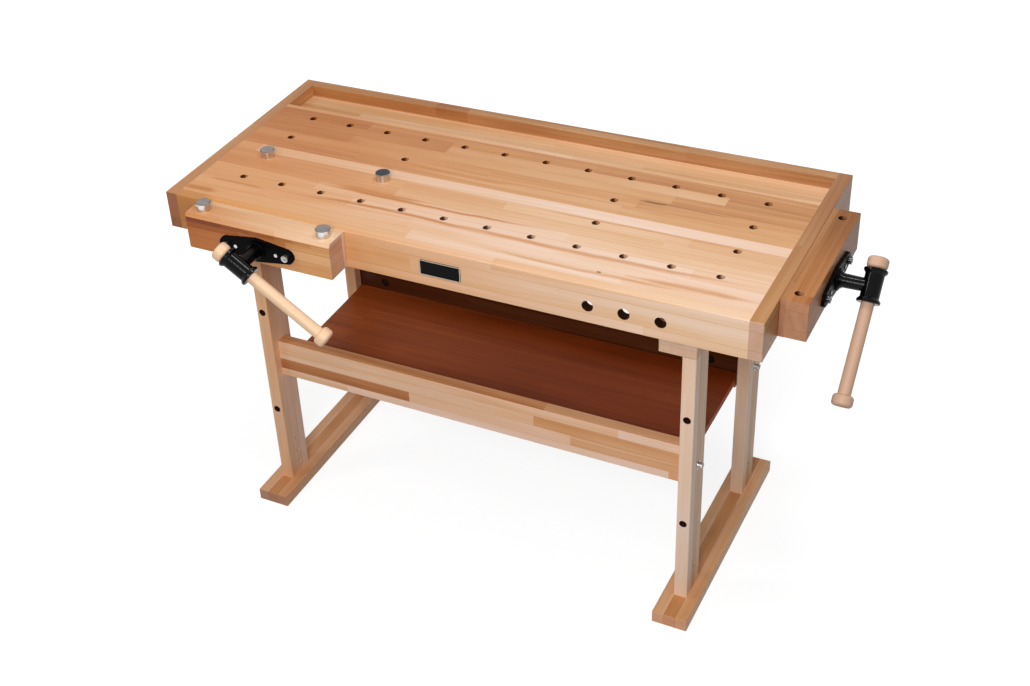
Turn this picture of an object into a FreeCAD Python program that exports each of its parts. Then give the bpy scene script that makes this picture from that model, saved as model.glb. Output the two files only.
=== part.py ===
import FreeCAD, Part
import math
import os

import Sketcher

# A woodworking bench with a front vise, an end vise, a tool well, a shelf and four bench dogs.
# Millimetres. Front is -Y, right is +X, up is +Z. The bodies are drawn about the middle of the
# top, and then moved so that the origin is on the floor under the middle of the whole bench,
# vises included. Every size is a cell of the sheet "Size", and every feature is bound to them.

Vector = FreeCAD.Vector
Rotation = FreeCAD.Rotation

SIZES = (
    # The top: a thin panel between tall edges, with a tool well along the back.
    ("top_length", 1500),
    ("top_depth", 666),
    ("bench_height", 934),
    ("edge_height", 98),
    ("cap_width", 32),
    ("apron_thick", 26),
    ("rail_thick", 29),
    ("panel_thick", 32),
    ("well_width", 119),
    ("well_board_thick", 10),
    ("well_board_lap", 30),
    ("well_groove", 8),
    ("edge_round", 2.5),
    ("small_round", 1.2),
    # Bench dog holes, and the vises that line up with them.
    ("dog_hole_dia", 19),
    ("dog_pitch_x", 111),
    ("dog_pitch_y", 110),
    ("dog_columns", 12),
    ("dog_rows_middle_y", -32),
    ("vise_columns_from_middle", 4),
    ("dog_hole_ease", 0.8),
    # The blank plate on the apron.
    ("plate_width", 104),
    ("plate_height", 40),
    ("plate_thick", 1.5),
    ("plate_middle_x", 2),
    ("plate_drop", 50),
    ("plate_corner", 4),
    # Trestles.
    ("trestle_spacing", 1139),
    ("base_middle_y", -8),
    ("post_spacing_y", 420),
    ("post_width", 33),
    ("post_depth", 85),
    ("foot_length", 658),
    ("foot_width", 88),
    ("foot_height", 32),
    ("bearer_width", 88),
    ("bearer_height", 86),
    ("batten_thick", 32),
    ("tenon_thick", 15),
    ("tenon_width", 55),
    ("foot_tenon", 20),
    ("bearer_tenon", 45),
    ("peg_hole_dia", 19),
    ("peg_low_z", 267.6),
    ("peg_high_z", 577.6),
    ("bearer_bolt_spacing", 280),
    ("bearer_bolt_bite", 45),
    ("bearer_bolt_sink", 12),
    # Stretchers with their joints, and the shelf.
    ("stretcher_thick", 32),
    ("stretcher_height", 108),
    ("stretcher_middle_z", 423),
    ("spare_joint_z", 103.5),
    ("joint_hole_pitch", 40.5),
    ("dowel_dia", 10),
    ("dowel_in_post", 25),
    ("dowel_in_stretcher", 35),
    ("bolt_dia", 10),
    ("bolt_hole_dia", 11),
    ("bolt_head_dia", 16),
    ("bolt_head_height", 10),
    ("bolt_length", 130),
    ("bolt_socket", 8),
    ("bolt_socket_depth", 5),
    ("washer_dia", 24),
    ("washer_thick", 2),
    ("nut_dia", 26),
    ("nut_length", 22),
    ("nut_inset", 80),
    ("nut_clearance", 0.4),
    ("shelf_thick", 18),
    ("shelf_end_gap", 4),
    ("shelf_side_gap", 0.5),
    ("cleat_height", 14),
    ("cleat_width", 20),
    ("cleat_screw_dia", 4),
    ("cleat_screw_head_dia", 8),
    ("cleat_screw_head", 2),
    ("cleat_screw_bite", 15),
    ("cleat_screw_inner_x", 150),
    ("cleat_screw_outer_x", 450),
    # Fits: radial clearances, unless a name says gap.
    ("running_fit", 0.08),
    ("seat_fit", 0.05),
    ("dog_fit", 0.1),
    ("face_gap", 0.3),
    # Vises: wooden jaws.
    ("vise_axis_drop", 54.5),
    ("front_jaw_length", 400),
    ("end_jaw_length", 400),
    ("front_jaw_thick", 56),
    ("end_jaw_thick", 49),
    ("jaw_height", 94),
    ("jaw_lining", 13),
    ("jaw_bevel_in", 5),
    ("jaw_bevel_down", 11),
    ("front_jaw_dog_inset", 34),
    ("end_jaw_dog_inset", 32),
    # Vises: flange, rods, screw and nut bracket.
    ("rod_spacing", 167),
    ("rod_dia", 25),
    ("rod_length", 298),
    ("rod_end_round", 2),
    ("rod_hole_dia", 27),
    ("screw_dia", 22),
    ("screw_reach", 300),
    ("screw_hole_dia", 28),
    ("screw_socket", 30),
    ("collar_dia", 40),
    ("collar_width", 10),
    ("collar_pocket_dia", 44),
    ("flange_thick", 8.5),
    ("flange_end_radius", 19),
    ("flange_middle_radius", 31),
    ("flange_round", 1.5),
    ("boss_radius", 25),
    ("boss_height", 4.5),
    ("rod_bolt_head_dia", 17.5),
    ("rod_bolt_head", 8),
    ("rod_bolt_bite", 28),
    ("rod_bolt_socket_depth", 4.5),
    ("flange_screw_spacing", 112),
    ("flange_screw_head_dia", 9.5),
    ("flange_screw_head", 2),
    ("flange_screw_dia", 4.5),
    ("flange_screw_bite", 30),
    ("bracket_plate", 10),
    ("bracket_drop", 38),
    ("bracket_margin", 3),
    ("bracket_boss_radius", 19),
    ("bracket_boss_length", 45),
    ("bracket_screw_x", 42),
    ("bracket_screw_up", 6),
    ("bracket_screw_down", 28),
    ("bracket_screw_dia", 6),
    ("bracket_screw_flats", 10),
    ("bracket_screw_head", 4),
    ("bracket_screw_bite", 21),
    ("batten_rod_hole_dia", 31),
    ("batten_screw_hole_dia", 38),
    # Vises: T-shaped hub and sliding handle.
    ("hub_reach", 82),
    ("hub_length", 76),
    ("hub_body_radius", 21),
    ("hub_rim_radius", 26),
    ("hub_rim_width", 6),
    ("hub_flare", 6),
    ("hub_rim_bevel", 1.5),
    ("neck_ring_radius", 20),
    ("neck_ring_width", 3),
    ("neck_step_radius", 18),
    ("neck_root_radius", 16),
    ("neck_top_radius", 15),
    ("handle_dia", 29),
    ("handle_length", 333),
    ("knob_dia", 46),
    ("knob_length", 26.5),
    ("knob_wall", 6),
    ("knob_round", 8),
    ("front_handle_angle", 146.3),
    ("end_handle_angle", 48),
    # Bench dogs.
    ("dog_head_dia", 36.5),
    ("dog_head_height", 20),
    ("dog_head_bevel", 1.5),
    ("dog_shank_length", 50),
)

doc = FreeCAD.newDocument("workbench")
sheet = doc.addObject("Spreadsheet::Sheet", "Size")
for row, (alias, size) in enumerate(SIZES, start=1):
    sheet.set("A%d" % row, alias)
    sheet.set("B%d" % row, str(size))
    sheet.setAlias("B%d" % row, alias)
doc.recompute()

PARTS = []
# Millimetres, or cubic ones, within which two sizes count as the same.
SAME = 0.01


# ---------------------------------------------------------------- modelling helpers

def value(expression):
    """The present number of an expression of the sheet, as a starting value for a feature."""
    return float(sheet.evalExpression(expression))


def part_body(label):
    """A body that becomes one node of the part."""
    body = doc.addObject("PartDesign::Body", label)
    body.Label = label
    place(body)
    PARTS.append(body)
    return body


def origin_plane(body, role):
    """One of the body's own origin planes."""
    return [item for item in body.Origin.OriginFeatures if item.Role == role][0]


# The XZ plane's normal points to -Y, and the other two point along +Z and +X.
NORMAL_SIGN = {"XY_Plane": 1, "XZ_Plane": -1, "YZ_Plane": 1}


def sketch_on(body, name, plane, at="0", turned_by=None):
    """A sketch on an origin plane, at a place along that plane's axis."""
    sketch = body.newObject("Sketcher::SketchObject", name)
    sketch.AttachmentSupport = [(origin_plane(body, plane), "")]
    sketch.MapMode = "FlatFace"
    if turned_by:
        sketch.AttachmentOffset = FreeCAD.Placement(Vector(), Rotation(Vector(0, 0, 1), value(turned_by)))
        sketch.setExpression("AttachmentOffset.Rotation.Angle", "(%s) * 1 deg" % turned_by)
    if at != "0":
        sign = "" if NORMAL_SIGN[plane] > 0 else "-"
        sketch.setExpression("AttachmentOffset.Base.z", "%s(%s)" % (sign, at))
    return sketch


def pin_point(sketch, geometry, point, across, up):
    """Fix one point of a sketch by its two coordinates; 0 puts it on the axis."""
    for kind, axis, size in (("DistanceX", -2, across), ("DistanceY", -1, up)):
        if size == "0":
            sketch.addConstraint(Sketcher.Constraint("PointOnObject", geometry, point, axis))
            continue
        datum = Sketcher.Constraint(kind, -1, 1, geometry, point, value(size))
        index = sketch.addConstraint(datum)
        sketch.setExpression("Constraints[%d]" % index, size)


def draw_outline(sketch, points):
    """A closed outline of straight lines, with every corner pinned."""
    places = [Vector(value(across), value(up), 0) for across, up in points]
    first = sketch.GeometryCount
    for index, place in enumerate(places):
        following = places[(index + 1) % len(places)]
        sketch.addGeometry(Part.LineSegment(place, following), False)
    for index, (across, up) in enumerate(points):
        following = first + (index + 1) % len(points)
        sketch.addConstraint(Sketcher.Constraint("Coincident", first + index, 2, following, 1))
        pin_point(sketch, first + index, 1, across, up)


def draw_rectangle(sketch, across, up):
    """A rectangle between two places across and two places up."""
    left, right = across
    low, top = up
    draw_outline(sketch, ((left, low), (right, low), (right, top), (left, top)))


def draw_circle(sketch, across, up, diameter):
    """A circle with its centre pinned and its diameter bound."""
    centre = Vector(value(across), value(up), 0)
    index = sketch.addGeometry(Part.Circle(centre, Vector(0, 0, 1), value(diameter) / 2), False)
    pin_point(sketch, index, 3, across, up)
    datum = sketch.addConstraint(Sketcher.Constraint("Diameter", index, value(diameter)))
    sketch.setExpression("Constraints[%d]" % datum, diameter)


def draw_hexagon(sketch, across, up, flats):
    """A hexagon, given its width across the flats."""
    corner = "(%s) / sqrt(3)" % flats
    half = "(%s) / sqrt(3) / 2" % flats
    flat = "(%s) / 2" % flats
    corners = ((corner, "0"), (half, flat), ("-" + half, flat), ("-" + corner, "0"),
               ("-" + half, "-" + flat), (half, "-" + flat))
    draw_outline(sketch, [(plus(across, right), plus(up, rise)) for right, rise in corners])


def plus(first, second):
    """The sum of two expressions, where "0" stands for none."""
    if second == "0":
        return first
    if first == "0":
        return second
    return "%s + (%s)" % (first, second)


def minus(expression):
    """The same size with the other sign."""
    return "0" if expression == "0" else "-(%s)" % expression


def pad(body, sketch, plane, length, toward=1):
    """Raise a sketch along the plane's axis, toward +1 or -1."""
    feature = body.newObject("PartDesign::Pad", sketch.Name + "_pad")
    feature.Profile = sketch
    feature.Reversed = toward * NORMAL_SIGN[plane] < 0
    feature.setExpression("Length", length)
    sketch.Visibility = False
    doc.recompute()
    return feature


def cut(body, sketch, plane, depth=None, toward=1):
    """Cut a sketch into the body: right through both ways, or to a depth toward +1 or -1."""
    before = body.Tip.Shape.Volume
    feature = body.newObject("PartDesign::Pocket", sketch.Name + "_cut")
    feature.Profile = sketch
    if depth is None:
        feature.Type = "ThroughAll"
        feature.SideType = "Symmetric"
    else:
        feature.Reversed = toward * NORMAL_SIGN[plane] > 0
        feature.setExpression("Length", depth)
    sketch.Visibility = False
    doc.recompute()
    if feature.Shape.Volume > before - SAME:
        raise RuntimeError("%s cuts nothing" % feature.Name)
    return feature


def box(label, x, y, z):
    """A board between two places on each axis."""
    body = part_body(label)
    sketch = sketch_on(body, label + "_outline", "XY_Plane", z[0])
    draw_rectangle(sketch, x, y)
    pad(body, sketch, "XY_Plane", "(%s) - (%s)" % (z[1], z[0]))
    return body


def recess(body, name, x, y, z):
    """Cut a box-shaped recess."""
    sketch = sketch_on(body, name, "XY_Plane", z[1])
    draw_rectangle(sketch, x, y)
    cut(body, sketch, "XY_Plane", "(%s) - (%s)" % (z[1], z[0]), -1)


def drill(body, name, plane, holes, at="0", depth=None, toward=1):
    """Round holes across a plane: each is (across, up, diameter)."""
    sketch = sketch_on(body, name, plane, at)
    for across, up, diameter in holes:
        draw_circle(sketch, across, up, diameter)
    return cut(body, sketch, plane, depth, toward)


def cylinders(body, name, plane, circles, at, length, toward=1):
    """Add round stock across a plane: each is (across, up, diameter)."""
    sketch = sketch_on(body, name, plane, at)
    for across, up, diameter in circles:
        draw_circle(sketch, across, up, diameter)
    return pad(body, sketch, plane, length, toward)


def turned(body, name, plane, profiles, axis, at="0", turned_by=None, hollow=False):
    """Turn closed profiles about an axis of their sketch, or cut them out by turning."""
    before = 0 if body.Tip is None else body.Tip.Shape.Volume
    sketch = sketch_on(body, name, plane, at, turned_by)
    for profile in profiles:
        draw_outline(sketch, profile)
    kind = "PartDesign::Groove" if hollow else "PartDesign::Revolution"
    feature = body.newObject(kind, name + "_turn")
    feature.Profile = sketch
    feature.ReferenceAxis = (sketch, [axis])
    feature.Angle = 360
    sketch.Visibility = False
    doc.recompute()
    if hollow and feature.Shape.Volume > before - SAME:
        raise RuntimeError("%s cuts nothing" % feature.Name)
    return feature


def mirrored(body, features, plane):
    """Repeat features on the other side of one of the body's planes."""
    feature = body.newObject("PartDesign::Mirrored", body.Name + "_mirror")
    feature.Originals = features
    feature.MirrorPlane = (origin_plane(body, plane), [""])
    body.Tip = feature
    doc.recompute()
    return feature


def fillet(body, name, radius, wanted):
    """Round the edges of the body's present shape that a test picks."""
    base = body.Tip
    names = ["Edge%d" % (index + 1) for index, edge in enumerate(base.Shape.Edges) if wanted(edge)]
    if not names:
        raise RuntimeError("%s finds no edge" % name)
    feature = body.newObject("PartDesign::Fillet", name)
    feature.Base = (base, names)
    feature.setExpression("Radius", radius)
    doc.recompute()
    return feature


def side_of(place, low, high):
    """Where a place lies between two bounds: "-" at the low one, "+" at the high one, "0" between."""
    near = (high - low) * 0.001
    if place < low + near:
        return "-"
    if place > high - near:
        return "+"
    return "0"


def ease(body, radius, codes):
    """Round a board's edges. A code such as "0-+" is the edge along X at the low Y and high Z."""
    bounds = body.Tip.Shape.BoundBox

    def wanted(edge):
        middle = edge.BoundBox.Center
        code = (side_of(middle.x, bounds.XMin, bounds.XMax)
                + side_of(middle.y, bounds.YMin, bounds.YMax)
                + side_of(middle.z, bounds.ZMin, bounds.ZMax))
        return code in codes.split()

    return fillet(body, body.Name + "_eased", radius, wanted)


def place(body, x="0", y="0", z="0", degrees=0):
    """Put a body where it belongs: its own frame's place from the middle of the top, on the floor."""
    body.Placement = FreeCAD.Placement(Vector(), Rotation(Vector(0, 0, 1), degrees))
    for axis, expression in (("x", plus(minus(WHOLE_X), x)), ("y", plus(WHOLE_Y, y)), ("z", z)):
        body.setExpression("Placement.Base." + axis, expression)


# ---------------------------------------------------------------- places shared by many pieces

TOP = "Size.bench_height"
EDGE_LOW = "Size.bench_height - Size.edge_height"
UNDER_PANEL = "Size.bench_height - Size.panel_thick"
UNDER_WELL = UNDER_PANEL + " - Size.well_board_thick"
RIGHT_END = "Size.top_length / 2"
CAP_IN = "Size.top_length / 2 - Size.cap_width"
FRONT = "-(Size.top_depth / 2)"
BACK = "Size.top_depth / 2"
APRON_IN = "-(Size.top_depth / 2) + Size.apron_thick"
RAIL_IN = "Size.top_depth / 2 - Size.rail_thick"
WELL_FRONT = RAIL_IN + " - Size.well_width"
WELL_BOARD_FRONT = WELL_FRONT + " - Size.well_board_lap"

POST_IN = "Size.trestle_spacing / 2 - Size.post_width / 2"
POST_OUT = "Size.trestle_spacing / 2 + Size.post_width / 2"
TRESTLE_X = "Size.trestle_spacing / 2"
BATTEN_X = "Size.trestle_spacing / 2 + Size.post_width / 2 - Size.batten_thick / 2"
POST_TOP = EDGE_LOW + " - Size.bearer_height"
POST_Y = {"front": "Size.base_middle_y - Size.post_spacing_y / 2",
          "rear": "Size.base_middle_y + Size.post_spacing_y / 2"}

AXIS_Z = "Size.bench_height - Size.vise_axis_drop"
ROD_OFF = "Size.rod_spacing / 2"
VISE_X = "Size.dog_pitch_x * Size.vise_columns_from_middle"

# How far the handles' hubs reach past the top, at the right and at the front, and half of it: the
# middle of the whole bench is that far from the middle of the top.
HUB_OUT = "Size.face_gap + Size.jaw_lining + Size.hub_reach + Size.hub_rim_radius"
WHOLE_X = "(%s + Size.end_jaw_thick) / 2" % HUB_OUT
WHOLE_Y = "(%s + Size.front_jaw_thick) / 2" % HUB_OUT
ROWS_Y = "Size.dog_rows_middle_y"

SIDES = (("left", -1), ("right", 1))


def sided(sign, expression):
    """An expression on the right side, or its mirror image on the left side."""
    return expression if sign > 0 else minus(expression)


def span(sign, inner, outer):
    """The low and high ends of a stretch that is mirrored to the left side."""
    if sign > 0:
        return (inner, outer)
    return (minus(outer), minus(inner))


def around(middle, width):
    """The two ends of a width centred on a place."""
    return ("%s - (%s) / 2" % (middle, width), "%s + (%s) / 2" % (middle, width))


def vise_holes(middle, height, rod_hole, screw_hole):
    """Two guide rod holes and a screw hole around a vise's axis."""
    return ((middle + " - " + ROD_OFF, height, rod_hole),
            (middle, height, screw_hole),
            (middle + " + " + ROD_OFF, height, rod_hole))


def bracket_screw_holes(middle, height, diameter):
    """The four screw holes of a nut bracket around a vise's axis."""
    holes = []
    for across in (" - Size.bracket_screw_x", " + Size.bracket_screw_x"):
        for up in (" + Size.bracket_screw_up", " - Size.bracket_screw_down"):
            holes.append((plus_text(middle, across), plus_text(height, up), diameter))
    return holes


def plus_text(middle, more):
    """A place that is moved by a signed size; "0" stands for the origin."""
    return more.strip().replace("- ", "-").replace("+ ", "") if middle == "0" else middle + more


# ---------------------------------------------------------------- the top

def top_panel():
    """The glued-up panel with its dog holes. The four inner holes line up with the front vise."""
    body = box("top_panel", (minus(CAP_IN), CAP_IN), (APRON_IN, WELL_FRONT), (UNDER_PANEL, TOP))
    ease(body, "Size.edge_round", "0++")
    outer = "Size.dog_pitch_y * 1.5"
    inner = "Size.dog_pitch_y * 0.5"
    first = "-(Size.dog_pitch_x * (Size.dog_columns - 1) / 2)"
    row_holes = [(first, ROWS_Y + " - " + outer, "Size.dog_hole_dia"),
                 (first, ROWS_Y + " + " + outer, "Size.dog_hole_dia")]
    pocket = drill(body, "panel_row_holes", "XY_Plane", row_holes)
    rows = body.newObject("PartDesign::LinearPattern", "panel_rows")
    rows.Originals = [pocket]
    rows.Direction = (pocket.Profile[0], ["H_Axis"])
    rows.setExpression("Length", "Size.dog_pitch_x * (Size.dog_columns - 1)")
    rows.setExpression("Occurrences", "Size.dog_columns")
    body.Tip = rows
    doc.recompute()
    vise_columns = []
    for sign in (-1, 1):
        for beside in (" - Size.dog_pitch_x * 1.5", " + Size.dog_pitch_x * 1.5"):
            vise_columns.append(sided(sign, VISE_X) + beside)
    inner_holes = []
    for column in vise_columns:
        for row in (" - ", " + "):
            inner_holes.append((column, ROWS_Y + row + inner, "Size.dog_hole_dia"))
    drill(body, "panel_vise_holes", "XY_Plane", inner_holes)
    ease_holes(body, "panel_hole_ease")


def ease_holes(body, name):
    """Ease the rims of the dog holes on the top face."""
    top = body.Tip.Shape.BoundBox.ZMax
    wide = value("Size.dog_hole_dia")
    base = body.Tip
    names = []
    for index, edge in enumerate(base.Shape.Edges):
        bounds = edge.BoundBox
        flat = abs(bounds.ZMin - top) < SAME and abs(bounds.ZMax - top) < SAME
        if flat and abs(bounds.XLength - wide) < SAME and abs(bounds.YLength - wide) < SAME:
            names.append("Edge%d" % (index + 1))
    feature = body.newObject("PartDesign::Chamfer", name)
    feature.Base = (base, names)
    feature.setExpression("Size", "Size.dog_hole_ease")
    doc.recompute()


def front_apron():
    """The front edge, bored for the front vise on the left and for a spare place on the right."""
    body = box("front_apron", (minus(CAP_IN), CAP_IN), (FRONT, APRON_IN), (EDGE_LOW, TOP))
    ease(body, "Size.edge_round", "0-+ 0-- 0+-")
    holes = []
    for middle in (minus(VISE_X), VISE_X):
        holes.extend(vise_holes(middle, AXIS_Z, "Size.rod_hole_dia", "Size.screw_hole_dia"))
    drill(body, "apron_vise_holes", "XZ_Plane", holes)
    pilots = bracket_screw_holes(minus(VISE_X), AXIS_Z, "Size.bracket_screw_dia + Size.seat_fit * 2")
    drill(body, "apron_pilots", "XZ_Plane", pilots, APRON_IN, "Size.bracket_screw_bite", -1)


def back_rail():
    """The back edge, grooved for the floor of the tool well."""
    body = box("back_rail", (minus(CAP_IN), CAP_IN), (RAIL_IN, BACK), (EDGE_LOW, TOP))
    ease(body, "Size.edge_round", "0++ 0+- 0-- 0-+")
    recess(body, "rail_groove", (minus(CAP_IN), CAP_IN), (RAIL_IN, RAIL_IN + " + Size.well_groove"),
           (UNDER_WELL, UNDER_PANEL))


def end_caps():
    """The two end caps, bored alike. Only the right one carries a vise bracket."""
    for side, sign in SIDES:
        body = box(side + "_end_cap", span(sign, CAP_IN, RIGHT_END), (FRONT, BACK), (EDGE_LOW, TOP))
        outer = "+" if sign > 0 else "-"
        inner = "-" if sign > 0 else "+"
        codes = "X0+ X0- X-0 X+0 0-+ 0-- 0++ 0+-".replace("X", outer) + " %s0-" % inner
        ease(body, "Size.edge_round", codes)
        holes = vise_holes(ROWS_Y, AXIS_Z, "Size.rod_hole_dia", "Size.screw_hole_dia")
        drill(body, side + "_cap_holes", "YZ_Plane", holes)
        if sign > 0:
            wide = "Size.bracket_screw_dia + Size.seat_fit * 2"
            pilots = bracket_screw_holes(ROWS_Y, AXIS_Z, wide)
            drill(body, "cap_pilots", "YZ_Plane", pilots, CAP_IN, "Size.bracket_screw_bite", 1)


def well_floor():
    """The thin floor of the tool well, under the panel's edge and in the rail's groove."""
    box("well_floor", (minus(CAP_IN), CAP_IN), (WELL_BOARD_FRONT, RAIL_IN + " + Size.well_groove"),
        (UNDER_WELL, UNDER_PANEL))


def battens():
    """Two cross battens under the panel, notched for the well floor and bored for an end vise."""
    for side, sign in SIDES:
        body = part_body(side + "_batten")
        low, high = around(sided(sign, BATTEN_X), "Size.batten_thick")
        sketch = sketch_on(body, side + "_batten_outline", "YZ_Plane", low)
        draw_outline(sketch, ((APRON_IN, EDGE_LOW), (RAIL_IN, EDGE_LOW), (RAIL_IN, UNDER_WELL),
                              (WELL_BOARD_FRONT, UNDER_WELL), (WELL_BOARD_FRONT, UNDER_PANEL),
                              (APRON_IN, UNDER_PANEL)))
        pad(body, sketch, "YZ_Plane", "Size.batten_thick")
        holes = vise_holes(ROWS_Y, AXIS_Z, "Size.batten_rod_hole_dia", "Size.batten_screw_hole_dia")
        drill(body, side + "_batten_holes", "YZ_Plane", holes)
        bolt_holes = [(sided(sign, BATTEN_X), y, "Size.bolt_dia + Size.seat_fit * 2")
                      for y in around("Size.base_middle_y", "Size.bearer_bolt_spacing")]
        drill(body, side + "_batten_bolt_holes", "XY_Plane", bolt_holes, EDGE_LOW,
              "Size.bearer_bolt_bite", 1)


def name_plate():
    """The blank dark plate on the apron."""
    plate_z = "Size.bench_height - Size.plate_drop"
    body = box("name_plate", around("Size.plate_middle_x", "Size.plate_width"),
               (FRONT + " - Size.plate_thick", FRONT), around(plate_z, "Size.plate_height"))
    ease(body, "Size.plate_corner", "-0- -0+ +0- +0+")


# ---------------------------------------------------------------- the trestles

def mortise(body, name, x, y, low, high):
    """A mortise of the tenon's own size."""
    recess(body, name, around(x, "Size.tenon_thick"), around(y, "Size.tenon_width"), (low, high))


def feet():
    """Flat feet along Y, with a mortise for each post."""
    for side, sign in SIDES:
        middle = sided(sign, TRESTLE_X)
        body = box(side + "_foot", around(middle, "Size.foot_width"),
                   around("Size.base_middle_y", "Size.foot_length"), ("0", "Size.foot_height"))
        ease(body, "Size.small_round", "-0+ +0+ 0-+ 0++ --0 -+0 +-0 ++0")
        for row, y in POST_Y.items():
            mortise(body, "%s_foot_%s_mortise" % (side, row), middle, y,
                    "Size.foot_height - Size.foot_tenon", "Size.foot_height")


def bearers():
    """Bearers on top of the posts, bolted up into the battens."""
    for side, sign in SIDES:
        inner = POST_OUT + " - Size.bearer_width"
        ends = around("Size.base_middle_y", "Size.post_spacing_y + Size.post_depth")
        body = box(side + "_top_bearer", span(sign, inner, POST_OUT), ends, (POST_TOP, EDGE_LOW))
        ease(body, "Size.small_round", "-0- +0- 0-- 0+- --0 -+0 +-0 ++0")
        for row, y in POST_Y.items():
            mortise(body, "%s_bearer_%s_mortise" % (side, row), sided(sign, TRESTLE_X), y,
                    POST_TOP, POST_TOP + " + Size.bearer_tenon")
        bolts = [(sided(sign, BATTEN_X), y) for y in around("Size.base_middle_y",
                                                            "Size.bearer_bolt_spacing")]
        drill(body, side + "_bearer_bolt_holes", "XY_Plane",
              [(x, y, "Size.bolt_hole_dia") for x, y in bolts])
        drill(body, side + "_bearer_sinks", "XY_Plane",
              [(x, y, "Size.bolt_head_dia + 4 * Size.washer_thick") for x, y in bolts],
              POST_TOP, "Size.bearer_bolt_sink", 1)


def bearer_bolts():
    """Four bolts from the bearers' undersides into the battens."""
    body = part_body("bearer_bolts")
    seat = POST_TOP + " + Size.bearer_bolt_sink"
    bolts = [(BATTEN_X, y) for y in around("Size.base_middle_y", "Size.bearer_bolt_spacing")]
    head = cylinders(body, "bearer_bolt_heads", "XY_Plane",
                     [(x, y, "Size.bolt_head_dia") for x, y in bolts], seat, "Size.bolt_head_height", -1)
    shank = cylinders(body, "bearer_bolt_shanks", "XY_Plane", [(x, y, "Size.bolt_dia") for x, y in bolts],
                      seat, "(%s) - (%s) + Size.bearer_bolt_bite" % (EDGE_LOW, seat))
    sketch = sketch_on(body, "bearer_bolt_sockets", "XY_Plane", seat + " - Size.bolt_head_height")
    for x, y in bolts:
        draw_hexagon(sketch, x, y, "Size.bolt_socket")
    socket = cut(body, sketch, "XY_Plane", "Size.bolt_socket_depth", 1)
    mirrored(body, [head, shank, socket], "YZ_Plane")


def posts():
    """Four posts with tenons at both ends, joint holes for the stretchers and peg holes in front."""
    dowel_hole = "Size.dowel_dia + Size.seat_fit * 2"
    for row, y in POST_Y.items():
        for side, sign in SIDES:
            label = "%s_%s_post" % (row, side)
            middle = sided(sign, TRESTLE_X)
            body = box(label, around(middle, "Size.post_width"), around(y, "Size.post_depth"),
                       ("Size.foot_height", POST_TOP))
            ease(body, "Size.edge_round", "--0 -+0 +-0 ++0")
            for end, low, length in (("foot", "Size.foot_height - Size.foot_tenon", "Size.foot_tenon"),
                                     ("top", POST_TOP, "Size.bearer_tenon")):
                sketch = sketch_on(body, "%s_%s_tenon" % (label, end), "XY_Plane", low)
                draw_rectangle(sketch, around(middle, "Size.tenon_thick"), around(y, "Size.tenon_width"))
                pad(body, sketch, "XY_Plane", length)
            inner_face = sided(sign, POST_IN)
            for joint, height in (("used", "Size.stretcher_middle_z"), ("spare", "Size.spare_joint_z")):
                drill(body, "%s_%s_bolt_hole" % (label, joint), "YZ_Plane",
                      [(y, height, "Size.bolt_hole_dia")])
                drill(body, "%s_%s_dowel_holes" % (label, joint), "YZ_Plane",
                      [(y, height + " - Size.joint_hole_pitch", dowel_hole),
                       (y, height + " + Size.joint_hole_pitch", dowel_hole)],
                      inner_face, "Size.dowel_in_post", sign)
            if row == "front":
                drill(body, label + "_peg_holes", "XZ_Plane",
                      [(middle, "Size.peg_low_z", "Size.peg_hole_dia"),
                       (middle, "Size.peg_high_z", "Size.peg_hole_dia")])


# ---------------------------------------------------------------- stretchers and shelf

STRETCHER_LOW = "Size.stretcher_middle_z - Size.stretcher_height / 2"
STRETCHER_TOP = "Size.stretcher_middle_z + Size.stretcher_height / 2"
CLEAT_TOP = STRETCHER_LOW + " + Size.cleat_height"
NUT_X = POST_IN + " - Size.nut_inset"
SCREW_X = ("Size.cleat_screw_inner_x", "Size.cleat_screw_outer_x")


def inner_face(row):
    """The face of a stretcher that looks at the shelf, and the way from it into the stretcher."""
    if row == "front":
        return POST_Y[row] + " + Size.stretcher_thick / 2", -1
    return POST_Y[row] + " - Size.stretcher_thick / 2", 1


def stretchers():
    """Two rails between the trestles. Each end has two dowels and a bolt into a barrel nut."""
    for row, y in POST_Y.items():
        body = box(row + "_stretcher", (minus(POST_IN), POST_IN), around(y, "Size.stretcher_thick"),
                   (STRETCHER_LOW, STRETCHER_TOP))
        ease(body, "Size.edge_round", "0-- 0-+ 0+- 0++")
        face, inward = inner_face(row)
        pocket_depth = "Size.stretcher_thick / 2 + Size.nut_length / 2"
        drill(body, row + "_nut_pockets", "XZ_Plane",
              [(sided(sign, NUT_X), "Size.stretcher_middle_z", "Size.nut_dia + Size.nut_clearance * 2")
               for side, sign in SIDES], face, pocket_depth, inward)
        screw_hole = "Size.cleat_screw_dia + Size.seat_fit * 2"
        drill(body, row + "_cleat_pilots", "XZ_Plane",
              [(sided(sign, x), STRETCHER_LOW + " + Size.cleat_height / 2", screw_hole)
               for x in SCREW_X for side, sign in SIDES], face, "Size.cleat_screw_bite", inward)
        for side, sign in SIDES:
            end = sided(sign, POST_IN)
            drill(body, "%s_%s_bolt_bore" % (row, side), "YZ_Plane",
                  [(y, "Size.stretcher_middle_z", "Size.bolt_hole_dia")], end,
                  "Size.nut_inset + Size.nut_dia", -sign)
            drill(body, "%s_%s_dowel_bores" % (row, side), "YZ_Plane",
                  [(y, "Size.stretcher_middle_z - Size.joint_hole_pitch", "Size.dowel_dia + Size.seat_fit * 2"),
                   (y, "Size.stretcher_middle_z + Size.joint_hole_pitch", "Size.dowel_dia + Size.seat_fit * 2")],
                  end, "Size.dowel_in_stretcher", -sign)


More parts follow.
